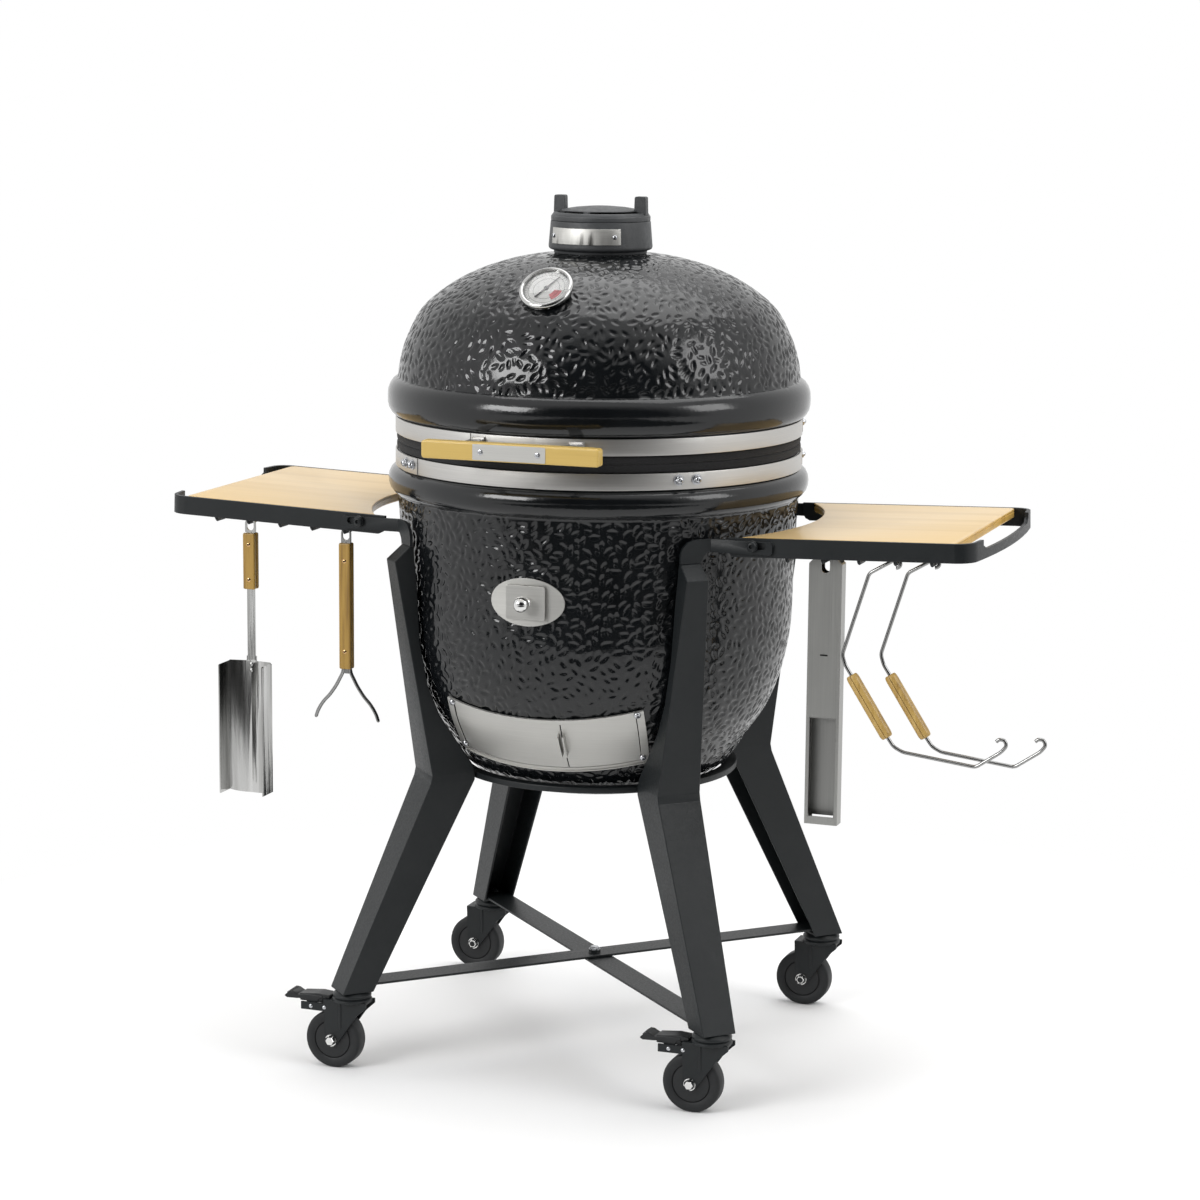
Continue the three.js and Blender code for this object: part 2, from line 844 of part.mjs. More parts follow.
// Built for the right side, around the pivot, with X running out from the grill.
function tableFrame(first) {
  const around = outline([...barPlan(0), ...barPlan(barThickness).reverse()]);
  const ribbon = extruded(around, barTop - barBottom).translate(0, 0, barBottom);
  const start = -34;
  const side = outline([
    [start, barTop],
    [start, -6],
    [start + 3, -12],
    [start + 9, barBottom],
    [320, barBottom],
    [320, barTop],
  ]);
  const trimmed = common(ribbon, uprightPlate(side, -200, 400));
  const grip = outline([[-124, 20], [-124, 2], [-112, -3.5], [112, -3.5], [124, 2], [124, 20]]);
  const notch = extruded(grip, 60).rotateY(Math.PI / 2).rotateX(Math.PI / 2).translate(tableEnd - 12, 0, 0);
  const boardUnder = barTop - boardThickness - gap;
  const inside = barFront - barThickness + 0.5;
  const ledges = [-1, 1].map((s) => {
    const [near, far] = [s * 128, s * inside].sort((a, b) => a - b);
    return block([12, near, boardUnder - sheet], [boardEnd - 8, far, boardUnder]);
  });
  const studs = [-1, 1].flatMap((s) => {
    const outer = barFront + gap + armThickness + gap;
    return [
      rod("y", axleRadius, 9.4, [0, s * (outer - 4.4), 0], 12),
      rod("y", 7.2, 4, [0, s * (outer + 2), 0], 12),
    ];
  });
  const hooks = [0, 1, 2, 3, 4].map((k) => hook(first + hookSpacing * k));
  return join(cut(trimmed, notch), ...ledges, ...studs, ...hooks);
}

function tableBoard() {
  const half = barFront - barThickness - 0.4;
  const points = [];
  const widest = Math.asin(half / boardCut);
  for (let i = 0; i <= 12; i += 1) {
    const angle = -widest + (2 * widest * i) / 12;
    points.push([boardCut * Math.cos(angle) - pivotReach, boardCut * Math.sin(angle)]);
  }
  points.push([boardEnd - 6, half], [boardEnd, half - 6], [boardEnd, -half + 6], [boardEnd - 6, -half]);
  return extruded(outline(points), boardThickness).translate(0, 0, barTop - boardThickness);
}

const board = tableBoard();
const frameRight = tableFrame(firstHook.right);
const frameLeft = mirroredX(tableFrame(firstHook.left));
const rightPivot = [pivotReach, 0, pivotHeight];
const leftPivot = [-pivotReach, 0, pivotHeight];
place("table_frame_right", "powder", frameRight, rightPivot, [0, -tableRise, 0]);
place("table_board_right", "bamboo", board, rightPivot, [0, -tableRise, 0]);
place("table_frame_left", "powder", frameLeft, leftPivot, [0, tableRise, 0]);
place("table_board_left", "bamboo", mirroredX(board), leftPivot, [0, tableRise, 0]);

// ---------------------------------------------------------------- tools

// Where the axis of a hook's level run lies, counting hooks from the grill outwards.
function hookPoint(side, count, y) {
  const sign = side === "right" ? 1 : -1;
  const out = firstHook[side] + hookSpacing * count;
  const x = pivotReach + out * Math.cos(tableRise) - hookDrop * Math.sin(tableRise);
  const z = pivotHeight + out * Math.sin(tableRise) + hookDrop * Math.cos(tableRise);
  return [sign * x, y, z];
}

// A flat steel eyelet that hangs on a hook, with a strip running down from it.
function hangingStrip(width, bottom) {
  const outerRadius = width / 2;
  const strip = new THREE.Shape();
  const eyeTop = hookRadius + gap;
  const holeRadius = 5;
  const centre = eyeTop - holeRadius;
  strip.absarc(0, centre, outerRadius, 0, turn / 2);
  strip.lineTo(-outerRadius, bottom);
  strip.lineTo(outerRadius, bottom);
  strip.closePath();
  const hole = new THREE.Path();
  hole.absarc(0, centre, holeRadius, 0, turn / 2);
  hole.absarc(0, centre - 4, holeRadius, turn / 2, turn);
  hole.closePath();
  strip.holes.push(hole);
  return uprightPlate(strip, -1.25, 2.5);
}

// Wooden scales around a steel strip, as one sleeve with room for the strip.
function sleeve(width, depth, top, bottom, stripWidth, stripDepth) {
  const shape = roundedOutline(width, depth, 5);
  const grip = extruded(shape, top - bottom).translate(0, 0, bottom);
  const half = stripWidth / 2 + gap;
  const room = block([-half, -stripDepth / 2 - gap, bottom - 5], [half, stripDepth / 2 + gap, top + 5]);
  return cut(grip, room);
}

const scoopTop = -185;
const scoopBottom = -364;

// An ash scoop: a strip with an eyelet, and a creased pan whose sides come forward.
function scoop() {
  const eye = hangingStrip(15, -13.6);
  const tang = block([-5.5, -1.25, scoopTop - 20], [5.5, 1.25, -12]);
  const halfWidth = 32;
  const reach = 28;
  const crease = 5.6;
  const thin = 1.6;
  const back = outline([
    [-halfWidth, -reach],
    [-halfWidth + thin, -reach],
    [-halfWidth + thin, 0],
    [0, crease],
    [halfWidth - thin, 0],
    [halfWidth - thin, -reach],
    [halfWidth, -reach],
    [halfWidth, thin],
    [0, crease + thin],
    [-halfWidth, thin],
  ]);
  const pan = extruded(back, scoopTop - scoopBottom).translate(0, -7.6, scoopBottom);
  const side = new THREE.Shape();
  side.moveTo(-halfWidth - 2, scoopTop - 4);
  side.lineTo(-halfWidth + 3, scoopTop);
  side.lineTo(halfWidth - 3, scoopTop);
  side.lineTo(halfWidth + 2, scoopTop - 4);
  side.lineTo(halfWidth + 2, scoopBottom + 6);
  side.absellipse(0, scoopBottom + 6, halfWidth + 2, 6, 0, turn / 2, true);
  side.closePath();
  const trimmed = common(pan, uprightPlate(side, -60, 90, 8));
  const neck = block([-7, -1.25, scoopTop - 20], [7, 1.25, scoopTop + 6]);
  return join(eye, tang, neck, trimmed);
}

// A grate lifter: a strip with an eyelet and two curved prongs.
function lifter() {
  const eye = hangingStrip(14, -13.6);
  const tang = block([-5.5, -1.25, -188], [5.5, 1.25, -12]);
  const prongs = [-1, 1].map((s) => {
    const points = [[3.2, -184], [9, -196], [14, -205], [24, -217], [34, -228], [41, -239], [44.5, -248]];
    const path = new THREE.CatmullRomCurve3(points.map(([x, z]) => new THREE.Vector3(s * x, 0, z)));
    return sweptRod(path, 2.4, 8, 9);
  });
  const cap = block([-7, -2.4, -189], [7, 2.4, -182.5]);
  return join(eye, tang, cap, ...prongs);
}

// A chute for wood chips: a flat box with a window near its foot and an open back slot.
// Its top corners are cut off, to clear the table above them as it folds.
function chipFeeder() {
  const [width, depth, bottom, top, slant] = [42.5, 18, -335, 8, 12];
  const face = outline([
    [-width / 2, bottom],
    [width / 2, bottom],
    [width / 2, top - slant],
    [width / 2 - slant, top],
    [slant - width / 2, top],
    [-width / 2, top - slant],
  ]);
  const shell = uprightPlate(face, 0, depth);
  const inside = block([-width / 2 + 1.6, 1.6, bottom + 1.6], [width / 2 - 1.6, depth - 1.6, 20]);
  const window = block([-width / 2 + 4.5, -5, bottom + 10], [width / 2 - 4.5, 5, bottom + 136]);
  const slot = block([-width / 2 + 5.5, depth - 5, bottom + 4], [width / 2 - 5.5, depth + 5, bottom + 12]);
  const eye = new THREE.Shape();
  eye.absarc(0, hookRadius + gap - 5.5, 5.5, 0, turn / 2);
  eye.absarc(0, -10, 5.5, turn / 2, turn);
  eye.closePath();
  return cut(shell, inside, window, slot, uprightPlate(eye, -10, 40));
}

// A wire handle with a hook at both ends, hung by its upper hook.
const wireRadius = 2.3;
const gripStart = [-54, -143];
const gripEnd = [-6, -218];

function wireHandle() {
  const hangRadius = hookRadius + wireRadius + gap;
  const run = [];
  for (let angle = -90; angle <= 120; angle += 30) {
    run.push([hangRadius * Math.cos(angle * degree), hangRadius * Math.sin(angle * degree)]);
  }
  run.push(
    [-34, -14],
    [-66, -118],
    [-62, -131],
    gripStart,
    gripEnd,
    [2, -229],
    [14, -235],
    [106, -246],
    [138, -224],
    [144, -216],
    [141, -209],
    [134, -209],
    [131, -212],
  );
  return wireAlong(run, wireRadius);
}

// The wooden grip around a wire handle's slanting run.
function wireGrip() {
  const [dx, dz] = [gripEnd[0] - gripStart[0], gripEnd[1] - gripStart[1]];
  const length = Math.hypot(dx, dz) - 2;
  const tube = ring([
    [wireRadius + gap, -length / 2],
    [6.5, -length / 2],
    [8.4, -length / 2 + 5],
    [8.4, length / 2 - 5],
    [6.5, length / 2],
    [wireRadius + gap, length / 2],
  ], 12);
  const middle = [(gripStart[0] + gripEnd[0]) / 2, 0, (gripStart[1] + gripEnd[1]) / 2];
  return tube.rotateY(Math.atan2(dx, dz)).translate(...middle);
}

const toolPlane = -146;
place("scoop", "steel", scoop(), hookPoint("left", 3, toolPlane));
place("scoop_handle", "wood", sleeve(17, 15, -14, -89, 11, 2.5), hookPoint("left", 3, toolPlane));
place("lifter", "steel", lifter(), hookPoint("left", 0, toolPlane));
place("lifter_handle", "wood", sleeve(16.5, 14, -14.5, -181.5, 11, 2.5), hookPoint("left", 0, toolPlane));
place("chip_feeder", "steel", chipFeeder(), hookPoint("right", 1, -140.5));
for (const [name, count, y] of [["inner", 3, -147.2], ["outer", 4, -135.4]]) {
  place(`wire_handle_${name}`, "steel", wireHandle(), hookPoint("right", count, y));
  place(`wire_grip_${name}`, "wood", wireGrip(), hookPoint("right", count, y));
}

// ---------------------------------------------------------------- casters

const axleHeight = wheelRadius;
const forkTop = legFoot - gap;
const cheekInner = wheelWidth / 2 + 1.5;
const cheekThickness = 2.5;

// A swivelling fork: race discs, two cheeks down to the axle, and the axle bolt.
function casterFork(braked) {
  const race = turned([
    [0, 91],
    [25.5, 91],
    [22, 96],
    [25, 99],
    [20, forkTop],
    [0, forkTop],
  ], 12);
  const bridge = block([-34, -cheekInner - cheekThickness, 88.5], [24, cheekInner + cheekThickness, 92]);
  const cheek = new THREE.Shape();
  cheek.moveTo(-34, 92);
  cheek.lineTo(-32.5, axleHeight);
  cheek.absarc(-trail, axleHeight, 9, turn / 2, turn * 0.87);
  cheek.lineTo(13, 74);
  cheek.lineTo(26, 86);
  cheek.lineTo(26, 92);
  cheek.closePath();
  const cheeks = [-1, 1].map((s) => {
    const front = s < 0 ? -cheekInner - cheekThickness : cheekInner;
    return uprightPlate(cheek, front, cheekThickness, 4);
  });
  const axle = rod("y", axleRadius, 2 * cheekInner + 16, [-trail, 0, axleHeight], 12);
  const heads = [-1, 1].map((s) => rod("y", 7, 5, [-trail, s * (cheekInner + 5), axleHeight], 6));
  const pieces = [race, bridge, ...cheeks, axle, ...heads];
  if (braked) {
    for (const y of [-cheekInner - cheekThickness, cheekInner]) {
      pieces.push(block([-66, y, 76], [-30, y + cheekThickness, 86]));
    }
  }
  return join(...pieces);
}

function casterWheel() {
  const half = wheelWidth / 2;
  const tyre = ring([
    [axleRadius + gap, -half],
    [34, -half],
    [wheelRadius, -half + 6],
    [wheelRadius, half - 6],
    [34, half],
    [axleRadius + gap, half],
  ], 24);
  return tyre.rotateX(Math.PI / 2);
}

// The brake lever: a plate over the fork's nose with a raised tread at its end.
function brakePedal() {
  const side = outline([
    [-37, 92],
    [-37, 95],
    [-62, 95.6],
    [-72, 93.5],
    [-79, 97.5],
    [-84, 97.5],
    [-92, 90],
    [-88, 87.6],
    [-74, 88],
    [-62, 89],
    [-56, 79],
    [-48, 79],
    [-42, 90],
  ]);
  return uprightPlate(side, -cheekInner + 1, 2 * cheekInner - 2);
}

const foot = footRadius / Math.SQRT2;
for (const [end, y] of [["front", -foot], ["rear", foot]]) {
  for (const [side, x] of [["left", -foot], ["right", foot]]) {
    const braked = end === "front";
    place(`caster_fork_${end}_${side}`, "powder", casterFork(braked), [x, y, 0]);
    place(`caster_wheel_${end}_${side}`, "rubber", casterWheel(), [x - trail, y, axleHeight]);
    if (braked) place(`brake_pedal_${side}`, "plastic", brakePedal(), [x, y, 0]);
  }
}

// ---------------------------------------------------------------- origin

const tableReach = pivotReach + tableEnd + endBow;
const wireReach = hookPoint("right", 4, 0)[0] + 144 + wireRadius;
grill.position.x = (tableReach - wireReach) / 2;

export default grill;
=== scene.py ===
"""Looks of a kamado grill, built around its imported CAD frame.

Shapes are written in millimetres around the kettle's vertical axis and turned into
the frame's metres by one matrix. Bearings are degrees from the front towards +X.
"""

import json
import math
import random

import bmesh
import bpy
import numpy as np
from mathutils import Matrix, Vector

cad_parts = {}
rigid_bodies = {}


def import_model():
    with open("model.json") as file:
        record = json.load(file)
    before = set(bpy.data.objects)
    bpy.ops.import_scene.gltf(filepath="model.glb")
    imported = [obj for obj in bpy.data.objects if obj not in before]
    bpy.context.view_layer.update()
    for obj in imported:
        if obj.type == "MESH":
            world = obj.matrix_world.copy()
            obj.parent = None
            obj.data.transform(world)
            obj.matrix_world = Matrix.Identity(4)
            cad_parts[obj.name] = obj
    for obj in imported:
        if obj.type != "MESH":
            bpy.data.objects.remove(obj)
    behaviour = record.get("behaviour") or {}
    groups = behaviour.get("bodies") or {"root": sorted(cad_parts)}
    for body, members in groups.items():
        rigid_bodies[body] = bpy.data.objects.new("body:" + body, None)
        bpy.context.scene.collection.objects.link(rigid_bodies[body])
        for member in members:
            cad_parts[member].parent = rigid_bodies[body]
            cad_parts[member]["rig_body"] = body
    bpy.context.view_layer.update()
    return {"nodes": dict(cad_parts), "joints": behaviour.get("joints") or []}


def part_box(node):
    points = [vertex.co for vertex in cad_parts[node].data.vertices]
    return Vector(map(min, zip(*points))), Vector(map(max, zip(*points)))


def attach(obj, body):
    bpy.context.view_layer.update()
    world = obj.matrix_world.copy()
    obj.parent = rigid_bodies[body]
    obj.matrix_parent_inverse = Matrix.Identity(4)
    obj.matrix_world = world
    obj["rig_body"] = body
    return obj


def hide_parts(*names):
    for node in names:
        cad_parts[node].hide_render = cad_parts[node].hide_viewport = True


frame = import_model()

MM = 0.001
FULL_TURN = 360.0
SEED = 7
JOINTS = {joint["name"]: joint for joint in frame["joints"]}


def centre(node):
    """The middle of a CAD node's box, in metres."""
    low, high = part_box(node)
    return (low + high) / 2


def bottom_and_top(node):
    """The lowest and highest levels of a CAD node, in millimetres."""
    return [corner.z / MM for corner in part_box(node)]


AXIS_X = centre("base_band").x
TO_FRAME = Matrix.Translation((AXIS_X, 0, 0)) @ Matrix.Scale(MM, 4)


def pivot(joint):
    """Where a joint is, in millimetres from the kettle's axis."""
    x, y, z = JOINTS[joint]["pos_m"]
    return Vector(((x - AXIS_X) / MM, y / MM, z / MM))


# ------------------------------------------------------------------ materials


def shader_of(material):
    return material.node_tree.nodes["Principled BSDF"]


def new_material(name, color, roughness, metallic=0.0, **sockets):
    material = bpy.data.materials.new(name)
    material.use_nodes = True
    shader = shader_of(material)
    shader.inputs["Base Color"].default_value = (*color, 1)
    shader.inputs["Roughness"].default_value = roughness
    shader.inputs["Metallic"].default_value = metallic
    for socket, value in sockets.items():
        shader.inputs[socket.replace("_", " ")].default_value = value
    return material


def add_node(material, kind, inputs=(), **settings):
    item = material.node_tree.nodes.new(kind)
    for key, value in settings.items():
        setattr(item, key, value)
    for key, value in dict(inputs).items():
        item.inputs[key].default_value = value
    return item


def link(material, start, end):
    material.node_tree.links.new(start, end)


def coordinates(material, scale=(1, 1, 1)):
    """The object's own coordinates in metres, stretched along each axis."""
    source = add_node(material, "ShaderNodeTexCoord")
    mapping = add_node(material, "ShaderNodeMapping", {"Scale": scale})
    link(material, source.outputs["Object"], mapping.inputs["Vector"])
    return mapping.outputs["Vector"]


def noise(material, vector, scale=1.0, detail=3.0, roughness=0.55):
    texture = add_node(
        material, "ShaderNodeTexNoise", {"Scale": scale, "Detail": detail, "Roughness": roughness}
    )
    link(material, vector, texture.inputs["Vector"])
    return texture.outputs["Fac"]


def remap(material, value, low, high, start=0.3, end=0.7):
    node = add_node(
        material,
        "ShaderNodeMapRange",
        {"From Min": start, "From Max": end, "To Min": low, "To Max": high},
    )
    link(material, value, node.inputs["Value"])
    return node.outputs["Result"]


def color_ramp(material, value, stops):
    ramp = add_node(material, "ShaderNodeValToRGB")
    elements = ramp.color_ramp.elements
    while len(elements) < len(stops):
        elements.new(0.5)
    for element, (position, color) in zip(elements, stops):
        element.position = position
        element.color = (*color, 1)
    link(material, value, ramp.inputs["Fac"])
    return ramp.outputs["Color"]


def math_node(material, operation, first, second=None):
    node = add_node(material, "ShaderNodeMath", operation=operation)
    for socket, value in zip(node.inputs, (first, second)):
        if value is None:
            continue
        if isinstance(value, (int, float)):
            socket.default_value = value
        else:
            link(material, value, socket)
    return node.outputs["Value"]


def add_bump(material, height, distance, strength=1.0):
    bump = add_node(material, "ShaderNodeBump", {"Strength": strength, "Distance": distance})
    link(material, height, bump.inputs["Height"])
    link(material, bump.outputs["Normal"], shader_of(material).inputs["Normal"])


def set_color(material, color):
    link(material, color, shader_of(material).inputs["Base Color"])


def blend_color(material, value, first, second, start=0.3, end=0.7):
    """Colours a material from one tone to another as a value goes from start to end."""
    set_color(material, color_ramp(material, value, [(start, first), (end, second)]))


def set_roughness(material, value):
    link(material, value, shader_of(material).inputs["Roughness"])


def glaze_material():
    glaze = new_material("black_glaze", (0.010, 0.012, 0.013), 0.13, IOR=1.5)
    where = coordinates(glaze)
    cloud = noise(glaze, where, 14, 3)
    blend_color(glaze, cloud, (0.003, 0.0035, 0.004), (0.006, 0.007, 0.008), end=0.75)
    set_roughness(glaze, remap(glaze, noise(glaze, where, 55, 4), 0.09, 0.19))
    add_bump(glaze, noise(glaze, where, 240, 2), 0.00012)
    return glaze


def fired_clay_material():
    clay = new_material("bare_clay", (0.52, 0.43, 0.31), 0.95)
    where = coordinates(clay)
    cloud = noise(clay, where, 18, 6)
    blend_color(clay, cloud, (0.36, 0.28, 0.19), (0.60, 0.50, 0.37))
    add_bump(clay, noise(clay, where, 700, 4), 0.0004)
    return clay


def brushed_material(name, stretch, base=(0.63, 0.62, 0.60), rough=(0.24, 0.40)):
    """Steel with fine lines: few changes along the brushing, many across it."""
    steel = new_material(name, base, rough[0], 1.0)
    lines = noise(steel, coordinates(steel, stretch), 1.0, 5, 0.7)
    cloud = noise(steel, coordinates(steel), 9, 3)
    dark = tuple(channel * 0.82 for channel in base)
    blend_color(steel, lines, dark, base, 0.28, 0.72)
    spread = rough[1] - rough[0]
    mixed = math_node(steel, "ADD", remap(steel, lines, 0, 0.7 * spread), rough[0])
    smear = remap(steel, cloud, 0, 0.3 * spread)
    set_roughness(steel, math_node(steel, "ADD", mixed, smear))
    add_bump(steel, lines, 0.00006, 0.6)
    return steel


def polished_material(name, base=(0.70, 0.70, 0.69), rough=(0.07, 0.17)):
    steel = new_material(name, base, rough[0], 1.0)
    where = coordinates(steel)
    set_roughness(steel, remap(steel, noise(steel, where, 30, 5), *rough))
    add_bump(steel, noise(steel, where, 45, 2), 0.00015, 0.6)
    return steel


def pressed_material():
    """Bright sheet with faint draw marks down its length."""
    sheet = new_material("pressed_sheet", (0.46, 0.46, 0.45), 0.14, 1.0)
    streaks = noise(sheet, coordinates(sheet, (70, 70, 5)), 1.0, 3, 0.5)
    blend_color(sheet, streaks, (0.30, 0.30, 0.29), (0.56, 0.56, 0.55), 0.36, 0.64)
    set_roughness(sheet, remap(sheet, streaks, 0.07, 0.15))
    add_bump(sheet, streaks, 0.0007)
    return sheet


def powder_material():
    powder = new_material("powder_coat", (0.015, 0.017, 0.019), 0.42, Specular_IOR_Level=0.3)
    where = coordinates(powder)
    cloud = noise(powder, where, 11, 4)
    blend_color(powder, cloud, (0.007, 0.009, 0.010), (0.012, 0.014, 0.015))
    set_roughness(powder, remap(powder, noise(powder, where, 320, 3), 0.36, 0.50))
    add_bump(powder, noise(powder, where, 1500, 2), 0.00012, 0.7)
    return powder


def casting_material():
    iron = new_material("painted_casting", (0.050, 0.053, 0.056), 0.5)
    where = coordinates(iron)
    cloud = noise(iron, where, 25, 4)
    blend_color(iron, cloud, (0.028, 0.030, 0.032), (0.046, 0.049, 0.052))
    set_roughness(iron, remap(iron, noise(iron, where, 160, 3), 0.42, 0.60))
    add_bump(iron, noise(iron, where, 650, 4), 0.00030, 0.8)
    return iron


def felt_material():
    """Woven black felt: fine threads run both ways over a rough ground."""
    felt = new_material(
        "black_felt", (0.010, 0.010, 0.011), 1.0, Sheen_Weight=0.08, Sheen_Roughness=0.5
    )
    fibre = noise(felt, coordinates(felt, (300, 300, 1100)), 1.0, 5, 0.7)
    ribs = noise(felt, coordinates(felt, (12, 12, 480)), 1.0, 1)
    height = math_node(felt, "ADD", fibre, ribs)
    blend_color(felt, fibre, (0.003, 0.003, 0.0035), (0.013, 0.013, 0.014), 0.35, 0.75)
    add_bump(felt, height, 0.0007)
    return felt


def bamboo_material(name, pale, deep, strip=0.021, rough=(0.30, 0.42)):
    """Laminated bamboo with its strips and grain along X."""
    bamboo = new_material(name, pale, rough[0], Coat_Weight=0.25, Coat_Roughness=0.18)
    source = add_node(bamboo, "ShaderNodeTexCoord")
    parts = add_node(bamboo, "ShaderNodeSeparateXYZ")
    link(bamboo, source.outputs["Object"], parts.inputs["Vector"])
    strips_across = math_node(bamboo, "DIVIDE", parts.outputs["Y"], strip)
    strip_number = math_node(bamboo, "FLOOR", strips_across)
    random_tone = add_node(bamboo, "ShaderNodeTexWhiteNoise", noise_dimensions="1D")
    link(bamboo, strip_number, random_tone.inputs["W"])
    grain = noise(bamboo, coordinates(bamboo, (7, 420, 420)), 1.0, 5, 0.65)
    broad = noise(bamboo, coordinates(bamboo, (2.5, 45, 45)), 1.0, 3)
    tone = math_node(bamboo, "MULTIPLY", random_tone.outputs["Value"], 0.28)
    tone = math_node(bamboo, "ADD", tone, math_node(bamboo, "MULTIPLY", grain, 0.45))
    tone = math_node(bamboo, "ADD", tone, math_node(bamboo, "MULTIPLY", broad, 0.35))
    bright = tuple(channel * 1.06 for channel in pale)
    set_color(bamboo, color_ramp(bamboo, tone, [(0.28, deep), (0.50, pale), (0.85, bright)]))
    set_roughness(bamboo, remap(bamboo, grain, *rough))
    add_bump(bamboo, grain, 0.00012, 0.5)
    return bamboo


def grip_wood_material(name, tones):
    """Oiled wood with its grain along Z, from a dark, a middle and a light tone."""
    wood = new_material(name, tones[1], 0.42, Coat_Weight=0.2, Coat_Roughness=0.25)
    grain = noise(wood, coordinates(wood, (260, 260, 9)), 1.0, 5, 0.65)
    broad = noise(wood, coordinates(wood, (60, 60, 4)), 1.0, 3)
    fine = math_node(wood, "MULTIPLY", grain, 0.55)
    tone = math_node(wood, "ADD", fine, math_node(wood, "MULTIPLY", broad, 0.45))
    set_color(wood, color_ramp(wood, tone, list(zip((0.30, 0.50, 0.72), tones))))
    set_roughness(wood, remap(wood, grain, 0.34, 0.52))
    add_bump(wood, grain, 0.00025, 0.7)
    return wood


def moulded_material(name, base, rough, grain=900):
    plastic = new_material(name, base, rough, Specular_IOR_Level=0.35)
    where = coordinates(plastic)
    set_roughness(plastic, remap(plastic, noise(plastic, where, 60, 4), rough - 0.07, rough + 0.09))
    add_bump(plastic, noise(plastic, where, grain, 3), 0.00010, 0.6)
    return plastic


def printed_material(name, color):
    paint = new_material(name, color, 0.55)
    cloud = noise(paint, coordinates(paint), 90, 3)
    dim = tuple(channel * 0.9 for channel in color)
    blend_color(paint, cloud, dim, color)
    return paint


ALONG_BAND = (9, 9, 1600)  # brushing round the kettle
ALONG_HEIGHT = (1500, 1500, 7)  # brushing up and down

FINISHES = {
    "glaze": glaze_material(),
    "clay": fired_clay_material(),
    "band": brushed_material("brushed_band", ALONG_BAND, (0.57, 0.56, 0.54), (0.34, 0.46)),
    "upright": brushed_material("brushed_upright", ALONG_HEIGHT, (0.40, 0.40, 0.385), (0.30, 0.44)),
    "satin": brushed_material("satin_plate", ALONG_BAND, (0.56, 0.555, 0.53), (0.44, 0.56)),
    "cover": brushed_material("cover_plate", ALONG_BAND, (0.47, 0.465, 0.445), (0.40, 0.52)),
    "pan": pressed_material(),
    # A darker copy of the feeder's brushed steel: painted shade for the back of its window and the
    # groove round it.
    "shaded": brushed_material("painted_shade_steel", ALONG_HEIGHT, (0.30, 0.30, 0.29), (0.34, 0.48)),
    "polished": polished_material("polished_steel", (0.52, 0.52, 0.51)),
    "wire": polished_material("drawn_wire", (0.30, 0.30, 0.295), (0.14, 0.26)),
    "zinc": polished_material("zinc_plate", (0.50, 0.51, 0.53), (0.20, 0.34)),
    "brass": polished_material("brass_rivet", (0.60, 0.38, 0.18), (0.16, 0.28)),
    "chrome": polished_material("chrome_plate", (0.70, 0.70, 0.69)),
    "powder": powder_material(),
    "iron": casting_material(),
    "felt": felt_material(),
    "board": bamboo_material("bamboo_face", (0.60, 0.42, 0.185), (0.51, 0.34, 0.13)),
    "board_edge": bamboo_material("bamboo_edge", (0.68, 0.42, 0.10), (0.50, 0.28, 0.05)),
    "handle": bamboo_material("bamboo_handle", (0.54, 0.37, 0.095), (0.42, 0.26, 0.055), 0.012),
    "wood": grip_wood_material(
        "pale_grip_wood", ((0.20, 0.11, 0.025), (0.44, 0.28, 0.075), (0.56, 0.39, 0.13))
    ),
    "scales": grip_wood_material(
        "golden_wood", ((0.12, 0.055, 0.008), (0.33, 0.19, 0.028), (0.44, 0.27, 0.050))
    ),
    "rubber": moulded_material("caster_rubber", (0.012, 0.013, 0.014), 0.55, 500),
    "plastic": moulded_material("black_plastic", (0.011, 0.012, 0.013), 0.38),
    "dial": printed_material("dial_white", (0.72, 0.72, 0.70)),
    "ink": printed_material("dial_ink", (0.02, 0.02, 0.02)),
    "red": printed_material("dial_red", (0.62, 0.17, 0.18)),
    "dial_grey": printed_material("dial_grey", (0.36, 0.36, 0.36)),
    # Near-black: the real colour of the gauge's stem and gasket; elsewhere painted shade, put in the
    # chimney's neck, the feeder's slot, the wheels' grooves and the rivets' hollows.
    "dark": moulded_material("black_and_painted_shade", (0.004, 0.004, 0.004), 0.8),
    "lens": new_material("lens_glass", (1, 1, 1), 0.02, Transmission_Weight=1.0, IOR=1.45),
}

# ------------------------------------------------------------------ shapes: (points, faces)


def cosd(angle):
    return math.cos(math.radians(angle))


def sind(angle):
    return math.sin(math.radians(angle))


def turn_about(axis, angle):
    return Matrix.Rotation(math.radians(angle), 4, axis)


def moved(shape, matrix):
    points, faces = shape
    return [matrix @ Vector(point) for point in points], faces


def merged(*shapes):
    points, faces = [], []
    for some_points, some_faces in shapes:
        offset = len(points)
        points += list(some_points)
        faces += [tuple(index + offset for index in face) for face in some_faces]
    return points, faces


def at(x, y, z):
    return Matrix.Translation((x, y, z))


def bearing_point(bearing, radius, height):
    return Vector((radius * sind(bearing), -radius * cosd(bearing), height))


def facing(position, direction):
    """A matrix that puts a shape built along +Z at a position, along a direction."""
    turn = Vector(direction).to_track_quat("Z", "Y").to_matrix().to_4x4()
    return Matrix.Translation(position) @ turn


def rounded(points, radius, steps=3, closed=True):
    """A path whose corners are rounded, each by a short curve."""
    result = []
    count = len(points)
    for i, point in enumerate(points):
        here = Vector(point)
        if not closed and i in (0, count - 1):
            result.append(here)
            continue
        back = Vector(points[i - 1]) - here
        ahead = Vector(points[(i + 1) % count]) - here
        reach = min(radius, back.length * 0.45, ahead.length * 0.45)
        start = here + back.normalized() * reach
        end = here + ahead.normalized() * reach
        for k in range(steps + 1):
            t = k / steps
            result.append(start * (1 - t) ** 2 + here * (2 * t * (1 - t)) + end * t ** 2)
    return result


